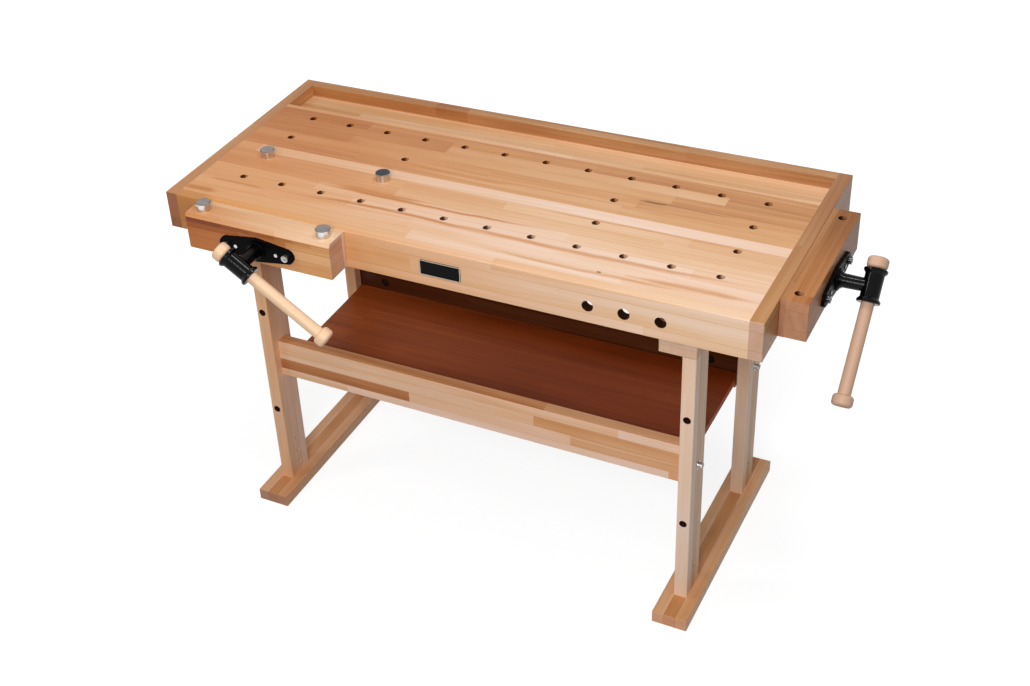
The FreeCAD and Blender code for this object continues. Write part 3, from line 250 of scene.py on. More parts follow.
# %% A group that grows the grain
def grow_beech_grain():
    graph, taken, given = new_group(
        "beech_grain",
        ("Along", "Across", "Deep", "Tone", "Seed", "End", "Contrast"),
        (("Color", "Color"), ("Roughness", "Float"), ("Height", "Float")),
    )
    luck = graph.luck(graph.times(taken["Seed"], 91.7), 4.2)
    along = graph.plus(taken["Along"], graph.times(luck[0], 9.0))
    across, deep = taken["Across"], taken["Deep"]
    place = (along, across, deep)

    # The pith line: up to 70 mm to a side, 15 to 105 mm below the face, leaning along the board.
    aside = graph.math("SUBTRACT", across, graph.about_zero(luck[1], 0.14))
    below = graph.plus(deep, graph.plus(0.015, graph.times(luck[2], 0.09)))
    square = graph.plus(graph.times(aside, aside), graph.times(below, below))
    wander = graph.about_zero(graph.noise(place, (1.5, 12.0, 12.0), 1.0), 0.016)
    lean = graph.times(along, graph.about_zero(luck[0], 0.045))
    radius = graph.plus(graph.math("SQRT", square), lean, wander)

    rings = graph.noise_along(radius, 260.0, 1.5)
    bands = graph.noise_along(radius, 62.0, 2.0)
    streaks = graph.noise(place, (1.5, 60.0, 60.0), 3.0, 0.55)
    fibres = graph.noise(place, (24.0, 900.0, 900.0), 2.0)
    flecks = graph.spread(graph.noise(place, (260.0, 1700.0, 1700.0), 1.0), 0.60, 0.74)
    broad = graph.noise(place, (3.2, 14.0, 14.0), 2.0)

    swing = graph.plus(
        graph.about_zero(rings, 0.15),
        graph.about_zero(bands, 0.30),
        graph.about_zero(streaks, 0.30),
        graph.about_zero(fibres, 0.10),
        graph.about_zero(broad, 0.26),
        graph.times(flecks, 0.05),
    )
    tone = graph.plus(taken["Tone"], graph.times(swing, taken["Contrast"]),
                      graph.times(taken["End"], -0.12))
    face = graph.ramp(tone, BEECH_TONES)
    rosy = graph.blend(graph.times(luck[1], 0.7), face, ROSY_TINT, "MULTIPLY")
    graph.feed(given["Color"], graph.blend(graph.times(taken["End"], 0.5), rosy, END_GRAIN_COLOUR))

    shine = graph.plus(0.36, graph.times(fibres, 0.14), graph.times(taken["End"], 0.16))
    graph.feed(given["Roughness"], graph.plus(shine, graph.times(flecks, 0.05)))
    relief = graph.plus(graph.times(fibres, 0.6), graph.times(rings, 0.3))
    graph.feed(given["Height"], graph.math("SUBTRACT", relief, graph.times(flecks, 0.5)))


grow_beech_grain()
print("group made: beech_grain")

# %% [markdown]
# Some boards carry one mark that the eye remembers: a long orange-brown streak of heartwood, a
# dark sap pocket, a small knot. Each is one bowed line with soft ends, so one group draws them
# all, and a material lists where its marks run and how wide they are.

# %% A group for single heartwood streaks
def grow_streak():
    graph, taken, given = new_group(
        "heart_streak",
        ("Along", "Across", "From", "To", "Middle", "Bow", "Width"),
        (("Mask", "Float"),),
    )
    length = graph.math("SUBTRACT", taken["To"], taken["From"])
    way = graph.math("DIVIDE", graph.math("SUBTRACT", taken["Along"], taken["From"]), length)
    rise = graph.times(graph.spread(way, 0.0, 0.3), graph.spread(way, 0.7, 1.0, 1.0, 0.0))
    arch = graph.times(graph.times(way, graph.math("SUBTRACT", 1.0, way)), 4.0)
    wobble = graph.about_zero(graph.noise_along(taken["Along"], 11.0, 2.0), 0.007)
    line = graph.plus(taken["Middle"], graph.times(arch, taken["Bow"]), wobble)
    off = graph.math("ABSOLUTE", graph.math("SUBTRACT", taken["Across"], line))
    thin = graph.times(taken["Width"], graph.plus(0.35, rise))
    core = graph.spread(graph.math("DIVIDE", off, thin), 0.1, 1.0, 1.0, 0.0)
    places = (taken["Along"], taken["Across"], 0.0)
    patchy = graph.spread(graph.noise(places, (14.0, 420.0, 1.0), 2.0), 0.25, 0.7, 0.7, 1.0)
    graph.feed(given["Mask"], graph.times(graph.times(core, rise), patchy))


grow_streak()
HEART_BROWN = shade(196, 118, 46)
# Pitch brown draws sap pockets, and on the apron it also draws the front jaw's painted shadow.
PITCH_AND_SHADOW_BROWN = shade(112, 66, 34)
print("group made: heart_streak")

# %% [markdown]
# ## Glued-up boards
# A bench is not cut from one plank. Strips are planed, glued side by side and end to end, and
# planed again, so each strip has its own tone and its own rings. Two ways give that. The strips
# that one sees first are written out, row by row: where a row starts, and for each length in it
# where it starts, how dark it is and which tree it came from. The rest are cut by a rule that
# draws those numbers from white noise.

# %% Rows that are written out
GLUE_CORE = 0.0001
GLUE_EDGE = 0.0006


def written_rows(graph, along, across, rows, ends):
    """Tone, seed, distance from the strip's middle and glue line, for rows of (low, lengths)."""
    first, last = ends
    reach = last - first
    lows = [low for low, lengths in rows[:-1]]
    top_edge = rows[-1][0]
    span = top_edge - lows[0]
    way = graph.math("DIVIDE", graph.math("SUBTRACT", along, first), reach)
    facts = None
    seam = None
    for index, (low, lengths) in enumerate(rows[:-1]):
        middle = ((low + rows[index + 1][0]) / 2 - lows[0]) / span
        stops = [(max(0.0, (start - first) / reach), (tone, seed, middle, 1.0))
                 for start, tone, seed in lengths]
        row = graph.ramp(way, stops, stepped=True)
        if facts is None:
            facts = row
            continue
        facts = graph.blend(graph.math("GREATER_THAN", across, low), facts, row)
        gap = graph.math("ABSOLUTE", graph.math("SUBTRACT", across, low))
        seam = gap if seam is None else graph.math("MINIMUM", seam, gap)
    parts = graph.node("ShaderNodeSeparateColor")
    graph.feed(parts.inputs[0], facts)
    tone, seed, middle = parts.outputs[:3]
    centre = graph.math("MULTIPLY_ADD", middle, span, lows[0])
    glue = graph.spread(seam, GLUE_CORE, GLUE_EDGE, 1.0, 0.0) if seam else 0.0
    return tone, seed, graph.math("SUBTRACT", across, centre), glue


def row_strips(rows, ends):
    """A way to lay one board's written rows between its two ends."""
    def lay(graph, along, across):
        return written_rows(graph, along, across, rows, ends)
    return lay


# %% Strips that are drawn by lot
def drawn_strips(graph, along, across, width, length, tones, lot):
    """The same four facts for strips of one width, with lengths and tones drawn by lot."""
    low, high = tones
    rows = graph.plus(graph.math("DIVIDE", across, width), 100.5)
    row = graph.math("FLOOR", rows)
    start = graph.luck(row, lot)
    lengths = graph.plus(graph.math("DIVIDE", along, length), graph.times(start[0], 7.0))
    facts = graph.luck(graph.plus(row, lot), graph.math("FLOOR", lengths))
    tone = graph.math("MULTIPLY_ADD", facts[0], high - low, low)
    inside = graph.math("SUBTRACT", graph.math("FRACT", rows), 0.5)
    edge = graph.times(graph.math("SUBTRACT", 0.5, graph.math("ABSOLUTE", inside)), width)
    glue = graph.spread(edge, GLUE_CORE, GLUE_EDGE, 1.0, 0.0)
    return tone, facts[1], graph.times(inside, width), glue


def lot_strips(width, length, low, high, lot):
    """A way to lay drawn strips, with tones between low and high."""
    def lay(graph, along, across):
        return drawn_strips(graph, along, across, width, length, (low, high), lot)
    return lay


print("two ways to lay strips")

# %% [markdown]
# A beech material puts these together. It turns the place on the board into along, across and
# deep, lays the strips, grows their grain, draws the marks, darkens the hair-thin glue lines and
# finds the end grain: a face that looks along the board is an end. The finish is clear oil, which
# leaves a soft shine, so the shader has no coat, only a roughness that follows the fibres.

# %% A beech material
GLUE_TINT = shade(222, 190, 162)
# Painted shade for the walls of upright holes and of level holes.
UPRIGHT_BORE_SHADE = shade(98, 68, 54)
LEVEL_BORE_SHADE = shade(52, 34, 28)
BORE_MARGIN = 0.005
END_LOOK = (0.6, 0.8)


def bore_shade_mask(graph, node, way, middle, places, facing):
    """How much painted shade darkens the walls of a board's holes that run along the axis given, 0
    to 1.

    Such a wall looks sideways and lies inside the board's box by a margin. Upright holes get less
    of this painted shade on the wall that looks left and to the front, which the light reaches."""
    low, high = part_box(node)
    looks = graph.split(facing.outputs[0])
    inside = 1.0
    if way == "Z":
        toward = graph.plus(graph.times(looks[0], 0.86), graph.times(looks[1], 0.51))
        inside = graph.spread(toward, -0.75, 0.1, 0.1, 1.0)
    for axis in range(3):
        if axis == "XYZ".index(way):
            continue
        for corner, sign in ((low, 1.0), (high, -1.0)):
            limit = (corner[axis] - middle[axis]) * sign + BORE_MARGIN
            past = graph.math("GREATER_THAN", graph.times(places[axis], sign), limit)
            inside = graph.times(inside, past)
    sideways = graph.math("ABSOLUTE", looks["XYZ".index(way)])
    return graph.times(inside, graph.spread(sideways, 0.3, 0.6, 1.0, 0.0))


def beech_material(name, middle, order, strips, marks=(), darker=0.0, tint=None, warm=None,
                   contrast=1.0, bored=None, turned=None, ends=None, sheen=0.3):
    """The finish of one board. Its places are measured from middle.

    order: the axes along the grain, across the strips and into the board, such as "XYZ".
    tint: a colour over the whole board. ends: the same for its end grain, where that differs.
    warm: (from, to, colour), a tint that fades out along the board between two places.
    bored: (node, axis), the solid whose holes along that axis get painted shade on their walls.
    turned: the turn of a board that leans."""
    material, graph, shader = new_material(name)
    source = graph.node("ShaderNodeTexCoord")
    settled = graph.node("ShaderNodeMapping", vector_type="TEXTURE")
    facing = graph.node("ShaderNodeMapping", vector_type="TEXTURE")
    graph.feed(settled.inputs["Vector"], source.outputs["Object"])
    graph.feed(facing.inputs["Vector"], source.outputs["Normal"])
    settled.inputs["Location"].default_value = middle
    if turned:
        settled.inputs["Rotation"].default_value = turned
        facing.inputs["Rotation"].default_value = turned
    axes = ["XYZ".index(letter) for letter in order]
    places = graph.split(settled.outputs[0])
    along, across, deep = (places[axis] for axis in axes)
    looks = graph.split(facing.outputs[0])[axes[0]]
    end = graph.spread(graph.math("ABSOLUTE", looks), *END_LOOK)

    tone, seed, inside, glue = strips(graph, along, across)
    grain = use_group(graph, "beech_grain", Along=along, Across=inside, Deep=deep,
                      Tone=graph.plus(tone, darker), Seed=seed, End=end, Contrast=contrast)
    colour = graph.blend(glue, grain["Color"], GLUE_TINT, "MULTIPLY")
    if tint:
        tinted = graph.blend(end, shade(*tint), shade(*(ends or tint)))
        colour = graph.blend(1.0, colour, tinted, "MULTIPLY")
    if warm:
        start, stop, glow = warm
        share = graph.spread(along, start, stop, 1.0, 0.0)
        colour = graph.blend(share, colour, shade(*glow), "MULTIPLY")
    for brown, strength, facts in marks:
        mask = use_group(graph, "heart_streak", Along=along, Across=across, **facts)["Mask"]
        colour = graph.blend(graph.times(mask, strength), colour, brown)
    # Painted shade on the walls of the board's holes.
    if bored:
        node, way = bored
        dark = bore_shade_mask(graph, node, way, middle, places, facing)
        wall = UPRIGHT_BORE_SHADE if way == "Z" else LEVEL_BORE_SHADE
        colour = graph.blend(dark, colour, wall, "MULTIPLY")
    graph.feed(shader.inputs["Base Color"], colour)
    graph.feed(shader.inputs["Roughness"], grain["Roughness"])
    shader.inputs["Specular IOR Level"].default_value = sheen
    relief = graph.bump(grain["Height"], strength=0.25, distance=0.0003)
    graph.feed(shader.inputs["Normal"], relief)
    return material


def mark(brown, strength, start, stop, middle, bow, width):
    """One streak of a board, in metres along and across it."""
    facts = {"From": start, "To": stop, "Middle": middle, "Bow": bow, "Width": width}
    return brown, strength, facts


def dress(material, *nodes):
    """Give solids a finish."""
    for node in nodes:
        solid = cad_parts[node]
        if not solid.material_slots:
            solid.data.materials.append(None)
        for place in solid.material_slots:
            place.material = material
    print(material.name, "on", ", ".join(nodes))


def middle_of(node):
    low, high = (Vector(corner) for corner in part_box(node))
    return (low + high) / 2


# %% [markdown]
# ## The top
# The panel is a dozen strips wide. Along the back they are browner, a pale strip runs the whole
# length between the dog holes, and the front strips are light, with two long bowed streaks of
# heartwood between them.

# %% The strips of the top panel
TOP_ROWS = (
    (-0.307, ((-0.75, 0.25, 0.11), (-0.10, 0.14, 0.71), (0.42, 0.22, 0.37))),
    (-0.265, ((-0.75, 0.21, 0.52), (-0.12, 0.14, 0.83))),
    (-0.227, ((-0.75, 0.25, 0.23), (-0.30, 0.12, 0.64), (0.55, 0.20, 0.92))),
    (-0.190, ((-0.75, 0.26, 0.44), (-0.42, 0.14, 0.05), (0.24, 0.22, 0.35))),
    (-0.152, ((-0.75, 0.38, 0.86), (-0.22, 0.32, 0.17), (0.45, 0.30, 0.59))),
    (-0.112, ((-0.75, 0.36, 0.28), (0.05, 0.30, 0.68), (0.50, 0.34, 0.09))),
    (-0.073, ((-0.75, 0.32, 0.49), (-0.66, 0.10, 0.90), (0.20, 0.08, 0.31))),
    (-0.035, ((-0.75, 0.52, 0.72), (-0.40, 0.46, 0.13), (0.30, 0.48, 0.54))),
    (0.008, ((-0.75, 0.50, 0.95), (-0.05, 0.48, 0.36), (0.33, 0.56, 0.77))),
    (0.050, ((-0.75, 0.58, 0.18), (-0.46, 0.47, 0.58), (0.40, 0.60, 0.99))),
    (0.088, ((-0.75, 0.58, 0.40), (-0.20, 0.45, 0.81), (0.52, 0.63, 0.22))),
    (0.126, ((-0.75, 0.62, 0.63), (-0.45, 0.56, 0.03), (0.18, 0.63, 0.45))),
    (0.168, ((-0.75, 0.28, 0.85), (0.10, 0.32, 0.27))),
    (0.185, ()),
)
TOP_MARKS = (
    mark(HEART_BROWN, 0.95, -0.52, 0.26, -0.153, -0.010, 0.0060),
    mark(HEART_BROWN, 0.75, -0.40, -0.10, -0.147, -0.008, 0.0120),
    mark(HEART_BROWN, 0.90, -0.48, 0.10, -0.232, 0.020, 0.0070),
    mark(HEART_BROWN, 0.70, -0.18, 0.76, -0.208, -0.012, 0.0080),
    mark(HEART_BROWN, 0.60, 0.03, 0.62, -0.276, -0.008, 0.0060),
    mark(HEART_BROWN, 0.60, 0.42, 0.73, -0.268, 0.004, 0.0105),
    mark(HEART_BROWN, 0.95, -0.74, -0.62, -0.287, 0.000, 0.0130),
    mark(HEART_BROWN, 0.75, -0.72, -0.50, -0.235, 0.004, 0.0050),
    mark(PITCH_AND_SHADOW_BROWN, 0.55, 0.27, 0.60, 0.041, 0.004, 0.0035),
    mark(PITCH_AND_SHADOW_BROWN, 0.80, 0.33, 0.41, 0.043, 0.000, 0.0050),
    mark(PITCH_AND_SHADOW_BROWN, 0.95, 0.357, 0.371, -0.277, 0.000, 0.0040),
    mark(HEART_BROWN, 0.60, -0.64, -0.44, 0.146, 0.000, 0.0230),
    mark(HEART_BROWN, 0.45, -0.66, -0.38, 0.062, 0.000, 0.0160),
    mark(HEART_BROWN, 0.60, -0.28, 0.08, 0.006, -0.008, 0.0070),
    mark(HEART_BROWN, 0.45, 0.30, 0.74, 0.180, 0.000, 0.0030),
    mark(HEART_BROWN, 0.45, 0.05, 0.74, -0.078, 0.000, 0.0050),
)
TOP_ENDS = (-0.75, 0.75)

top_surface = Vector((TOP_MIDDLE.x, TOP_MIDDLE.y, TOP_HEIGHT))
# The warm tint that fades out toward the right is partly the panel's own tone and partly painted
# shade at the less lit left end.
top_beech = beech_material(
    "beech_top_panel", top_surface, "XYZ", row_strips(TOP_ROWS, TOP_ENDS), TOP_MARKS,
    warm=(-0.75, 0.35, (250, 220, 184)), tint=(251, 249, 249), contrast=0.85,
    bored=("top_panel", "Z"))
dress(top_beech, "top_panel")

# %% [markdown]
# The boards around the panel are plainer. The apron and the floor of the well are light, the end
# caps are a warm brown with their grain running front to back, and the back rail darkens to the
# right and has one orange block let into its top. Painted shade darkens the apron's left end, the
# left cap's front end and the right cap's back.

# %% The boards around the panel
def board(name, node, order, strips, **more):
    """One board with a material of its own, centred on it."""
    dress(beech_material("beech_" + name, middle_of(node), order, strips, **more), node)


# The apron's brown mark at its left end is the front jaw's painted shadow. Its warm tint, which
# fades out to the right, is partly the wood's own tone and partly painted shade.
board("apron", "front_apron", "XZY", lot_strips(0.049, 0.9, 0.08, 0.18, 3.0),
      marks=(mark(PITCH_AND_SHADOW_BROWN, 0.50, -0.80, -0.60, -0.01, 0.0, 0.09),),
      warm=(-0.72, 0.80, (236, 189, 122)), bored=("front_apron", "Y"))

LEFT_CAP_ROWS = (
    (-0.055, ((-0.34, 0.78, 0.43), (-0.20, 0.62, 0.12), (0.10, 0.54, 0.77))),
    (-0.020, ((-0.34, 0.52, 0.85), (0.05, 0.56, 0.26))),
    (0.055, ()),
)
LEFT_CAP_ENDS = (-0.34, 0.34)
# The left cap's dark end tint is partly its own end grain and partly painted shade beside the
# front jaw.
board("left_cap", "left_end_cap", "YZX", row_strips(LEFT_CAP_ROWS, LEFT_CAP_ENDS),
      tint=(235, 222, 212), ends=(186, 150, 128), bored=("left_end_cap", "X"))
# The right cap's tint that darkens toward the back is painted shade, following the light falling
# off to the back.
board("right_cap", "right_end_cap", "YZX", lot_strips(0.049, 0.7, 0.46, 0.58, 8.0),
      tint=(220, 213, 198), ends=(238, 234, 240), warm=(0.30, -0.30, (222, 205, 199)))
board("well_floor", "well_floor", "XYZ", lot_strips(0.055, 0.8, 0.28, 0.40, 11.0),
      tint=(252, 247, 240))

RAIL_ROWS = (
    (-0.049, ((-0.75, 0.52, 0.31), (-0.20, 0.58, 0.72), (0.10, 0.70, 0.14))),
    (0.022, ((-0.75, 0.56, 0.53), (-0.34, 0.68, 0.92), (-0.25, 0.60, 0.24), (0.35, 0.60, 0.66))),
    (0.049, ()),
)
board("back_rail", "back_rail", "XZY", row_strips(RAIL_ROWS, TOP_ENDS),
      warm=(-0.6, 0.5, (244, 220, 190)), tint=(230, 235, 240))

# %% [markdown]
# ## The trestles
# A foot is three strips side by side with a darker one in the middle. A post is three strips too,
# standing up. The bearers under the top are wide and thick, so their strips are broad.

# %% Feet, posts and bearers
FOOT_ROWS = (
    (-0.044, ((-0.35, 0.30, 0.21), (0.05, 0.26, 0.62))),
    (-0.0147, ((-0.35, 0.52, 0.83), (-0.02, 0.58, 0.44))),
    (0.0147, ((-0.35, 0.32, 0.05), (0.12, 0.24, 0.96))),
    (0.044, ()),
)
FOOT_ENDS = (-0.35, 0.35)
POST_ROWS = {
    "left": (
        (-0.0425, ((-0.40, 0.24, 0.32), (0.25, 0.30, 0.74))),
        (-0.0140, ((-0.40, 0.15, 0.15), (0.10, 0.09, 0.56))),
        (0.0140, ((-0.40, 0.02, 0.97), (-0.15, 0.06, 0.38))),
        (0.0425, ()),
    ),
    "right": (
        (-0.0425, ((-0.40, 0.03, 0.32), (0.25, 0.09, 0.74))),
        (-0.0140, ((-0.40, 0.40, 0.15), (0.10, 0.32, 0.56))),
        (0.0140, ((-0.40, 0.22, 0.97), (-0.15, 0.28, 0.38))),
        (0.0425, ()),
    ),
}
POST_ENDS = (-0.40, 0.40)
SIDE_FACTS = {
    "left": {"foot": (249, 230, 216), "foot_ends": (214, 188, 176), "post": (254, 240, 231),
             "bearer_lot": 14.0},
    "right": {"foot": (255, 238, 220), "foot_ends": (255, 224, 204), "post": (255, 252, 248),
              "bearer_lot": 17.0},
}

for side, facts in SIDE_FACTS.items():
    board(side + "_foot", side + "_foot", "YXZ", row_strips(FOOT_ROWS, FOOT_ENDS),
          tint=facts["foot"], ends=facts["foot_ends"])
    board(side + "_bearer", side + "_top_bearer", "YZX",
          lot_strips(0.043, 0.6, 0.25, 0.50, facts["bearer_lot"]))
    board(side + "_batten", side + "_batten", "YZX", lot_strips(0.033, 0.7, 0.30, 0.55, 19.0))
    front_post = "front_%s_post" % side
    rear_post = "rear_%s_post" % side
    rows = row_strips(POST_ROWS[side], POST_ENDS)
    board(front_post, front_post, "ZYX", rows, tint=facts["post"], bored=(front_post, "Y"))
    board(rear_post, rear_post, "ZYX", rows, darker=0.06, tint=facts["post"])

# %% [markdown]
# The front stretcher is the patchwork board of the bench: four rows of lengths, some nearly white
# and some as brown as walnut, and a fifth row, a hair thin, that gives the top face. The rear one
# is dark throughout with painted shade, for the shade under the top, and the shelf is dark
# throughout. The shelf's cleats and the stretchers' dowels are plain.

# %% Stretchers, shelf, cleats and dowels
STRETCHER_ROWS = (
    (-0.054, ((-0.56, 0.21, 0.41), (-0.358, 0.04, 0.82), (0.517, 0.38, 0.23))),
    (-0.031, ((-0.56, 0.72, 0.64), (-0.173, 0.18, 0.06), (0.267, 0.42, 0.46))),
    (-0.001, ((-0.56, 0.21, 0.87), (0.174, 0.45, 0.29))),
    (0.029, ((-0.56, 0.18, 0.69), (0.392, 0.03, 0.11))),
    (0.0535, ((-0.56, 0.51, 0.50), (0.20, 0.36, 0.18))),
    (0.054, ()),
)
STRETCHER_ENDS = (-0.56, 0.56)

board("front_stretcher", "front_stretcher", "XZY", row_strips(STRETCHER_ROWS, STRETCHER_ENDS),
      tint=(255, 243, 237))
# The rear stretcher's dark tint is painted shade for the shade under the top.
board("rear_stretcher", "rear_stretcher", "XZY", lot_strips(0.036, 0.5, 0.62, 0.95, 23.0),
      tint=(122, 98, 90), sheen=0.15)
board("shelf", "shelf", "XYZ", lot_strips(0.194, 3.0, 0.76, 0.82, 29.0), tint=(244, 188, 146),
      warm=(0.30, -0.55, (214, 194, 172)), contrast=0.8, sheen=0.15)
board("front_cleat", "front_shelf_cleat", "XYZ", lot_strips(0.05, 0.9, 0.4, 0.6, 31.0))
board("rear_cleat", "rear_shelf_cleat", "XYZ", lot_strips(0.05, 0.9, 0.5, 0.7, 37.0))
board("dowels", "stretcher_dowels", "XYZ", lot_strips(0.05, 0.9, 0.2, 0.3, 59.0))

# %% [markdown]
# ## The vises' jaws
# Each jaw is a thick block with a thin lining toward the bench. The front jaw's grain runs along
# the bench and the end jaw's runs front to back. Two rows of the front jaw just under its top edge
# are dark at their left end and fade to the right: that is painted shade, written as many short
# lengths of one tree. The front jaw's warm tint at its left end is painted shade too.

# %% Jaws and linings
VISES = ("front", "end")
# The rows from 0.012 to 0.0375 grow darker toward the left end: painted shade under the top edge.
JAW_ROWS_AND_SHADE = (
    (-0.047, ((-0.22, 0.50, 0.33), (0.06, 0.36, 0.75))),
    (-0.012, ((-0.22, 0.54, 0.16), (0.02, 0.38, 0.57))),
    (0.012, ((-0.22, 0.76, 0.39), (-0.05, 0.68, 0.39), (0.08, 0.52, 0.39))),
    (0.028, ((-0.22, 0.96, 0.39), (-0.10, 0.90, 0.39), (-0.02, 0.83, 0.39), (0.05, 0.75, 0.39),
             (0.10, 0.67, 0.39), (0.15, 0.58, 0.39))),
    (0.0375, ((-0.22, 0.16, 0.61), (0.05, 0.12, 0.20))),
    (0.047, ()),
)
JAW_ENDS = (-0.22, 0.22)

# The front jaw's warm tint at its left end is painted shade.
board("front_jaw", "front_jaw", "XZY", row_strips(JAW_ROWS_AND_SHADE, JAW_ENDS),
      warm=(-0.25, 0.20, (228, 190, 152)), tint=(255, 244, 226), ends=(228, 208, 196),
      bored=("front_jaw", "Z"))
board("front_lining", "front_jaw_lining", "XZY", lot_strips(0.1, 2.0, 0.24, 0.32, 41.0))
# The end jaw's tint that darkens toward the back is painted shade, as on the right cap.
board("end_jaw", "end_jaw", "YZX", lot_strips(0.047, 0.8, 0.60, 0.68, 43.0),
      tint=(226, 208, 188), ends=(228, 208, 196), warm=(0.19, -0.19, (204, 198, 190)),
      bored=("end_jaw", "Z"), sheen=0.15)
board("end_lining", "end_jaw_lining", "YZX", lot_strips(0.1, 2.0, 0.44, 0.52, 47.0),
      tint=(190, 164, 130), ends=(206, 176, 160))

# %% [markdown]
# ## Turned handles
# A vise handle is turned from one straight pale stick and polished on the lathe. The grain runs
# down the stick, so its pattern is turned to lie along the bar, which leans in its hub.

# %% Handle bars and knobs
def handle_turn(vise):
    """The turn that lays the grain's X along this vise's bar, from the bar's own box."""
    low, high = (Vector(corner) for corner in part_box(vise + "_handle_bar"))
    size = high - low
    if vise == "front":
        return (0.0, math.atan2(size.z, size.x), 0.0)
    return (0.0, -math.atan2(size.z, size.y), math.pi / 2)


# The end handle's darker, greyer tint is painted shade for its place at the shaded right end.
HANDLE_TINTS_AND_SHADE = {"front": (250, 238, 214), "end": (216, 198, 184)}
for vise in VISES:
    handle_beech = beech_material(
        "beech_%s_handle" % vise, middle_of(vise + "_handle_bar"), "XYZ",
        lot_strips(0.5, 5.0, 0.03, 0.06, 53.0), contrast=0.45, turned=handle_turn(vise),
        tint=HANDLE_TINTS_AND_SHADE[vise])
    dress(handle_beech, vise + "_handle_bar", vise + "_handle_knobs")

# %% [markdown]
# ## Black enamel
# The flanges, hubs and nut brackets are sand-cast iron under thick enamel. Enamel flows, so the
# sand's roughness is left as a gentle orange peel, and the paint is a little greyer in patches. A
# bump of soft noise gives the peel, and the shine varies by a few hundredths. The hubs are rubbed
# by hands and shine more than the flanges and brackets, which keep a satin coat.

# %% Enamelled castings
CLOUD_RANGE = (0.3, 0.7)


def cloud_ramp(graph, cloud, dark, light):
    """A colour that drifts between two with soft noise."""
    low, high = CLOUD_RANGE
    return graph.ramp(cloud, ((low, shade(*dark)), (high, shade(*light))))


def enamel_material(name, dullness, sheen):
    """Black enamel. dullness: its least roughness. sheen: how strongly it mirrors."""
    material, graph, shader = new_material(name)
    places = graph.split(graph.node("ShaderNodeTexCoord").outputs["Object"])
    peel = graph.noise(places, (260.0, 260.0, 260.0))
    cloud = graph.noise(places, (45.0, 45.0, 45.0))
    dulled = graph.spread(cloud, *CLOUD_RANGE, dullness, dullness + 0.06)
    graph.feed(shader.inputs["Base Color"], cloud_ramp(graph, cloud, (3, 3, 4), (7, 7, 9)))
    graph.feed(shader.inputs["Roughness"], dulled)
    shader.inputs["Specular IOR Level"].default_value = sheen
    graph.feed(shader.inputs["Normal"], graph.bump(peel, strength=0.25, distance=0.0005))
    return material


satin_enamel = enamel_material("satin_enamel", 0.40, 0.03)
gloss_enamel = enamel_material("gloss_enamel", 0.10, 0.12)
for vise in VISES:
    dress(satin_enamel, vise + "_flange", vise + "_nut_bracket")
    dress(gloss_enamel, vise + "_handle_hub")

# %% [markdown]
# ## Bright steel
# Dogs, rods, bolts and screws are turned and left bright. A lathe leaves fine rings around the
# axis, too fine to see one by one, which spread the highlight. The rings are a noise that is
# stretched around the axis, so a material is made for each axis that something is turned about.
# The rods and the vise screws are duller, as if oiled. The faces across the axis are tinted darker
# with a painted reflection, and the leaning rims get a painted dark reflection. The end jaw's
# bolts and the barrel nuts are nearly black with painted shade, the front jaw's bolts are bright
# on their heads too, and one dog has a painted dark reflection on its top.

# %% Turned steel for each axis
LEANING_LOOK = (0.1, 0.3)
END_FACE_LOOK = (0.93, 0.99)


def steel_material(name, axis, level=1.0, top=(172, 163, 158)):
    """Steel that is turned about an axis.

    level: how bright it is as a whole. top: a tint of its faces across the axis, which paints a
    darker reflection on them."""
    material, graph, shader = new_material(name)
    shader.inputs["Metallic"].default_value = 1.0
    places = graph.split(graph.node("ShaderNodeTexCoord").outputs["Object"])
    scales = [30.0, 30.0, 30.0]
    scales["XYZ".index(axis)] = 2600.0
    rings = graph.noise(places, scales)
    smear = graph.noise(places, (60.0, 60.0, 60.0), 3.0, 0.6)
    normal = graph.split(graph.node("ShaderNodeTexCoord").outputs["Normal"])["XYZ".index(axis)]
    looks = graph.math("ABSOLUTE", normal)
    # Faces across the axis get the top tint: a painted reflection that darkens them.
    painted_end_reflection = graph.spread(looks, *END_FACE_LOOK)
    # The leaning rims get a painted dark reflection, and more roughness below.
    painted_rim_reflection = graph.times(graph.spread(looks, *LEANING_LOOK),
                      graph.spread(looks, *END_FACE_LOOK, 1.0, 0.0))
    colour = cloud_ramp(graph, smear, (196, 196, 198), (218, 217, 216))
    colour = graph.blend(painted_end_reflection, colour, shade(*top), "MULTIPLY")
    colour = graph.blend(painted_rim_reflection, colour, shade(128, 122, 118), "MULTIPLY")
    colour = graph.blend(1.0, colour, (level, level, level, 1.0), "MULTIPLY")
    graph.feed(shader.inputs["Base Color"], colour)
    shine = graph.plus(graph.spread(smear, *CLOUD_RANGE, 0.16, 0.24), graph.times(rings, 0.06),
                       graph.times(painted_rim_reflection, 0.25))
    graph.feed(shader.inputs["Roughness"], shine)
    graph.feed(shader.inputs["Normal"], graph.bump(rings, strength=0.05, distance=0.00005))
    return material


steel = {axis: steel_material("bright_steel_" + axis, axis) for axis in "XYZ"}
rod_steel = {axis: steel_material("rod_steel_" + axis, axis, 0.58) for axis in "XY"}
# Steel brought down to nearly black: painted shade for bolts and nuts that sit in the shade.
painted_shade_steel = steel_material("painted_shade_steel", "X", 0.12)
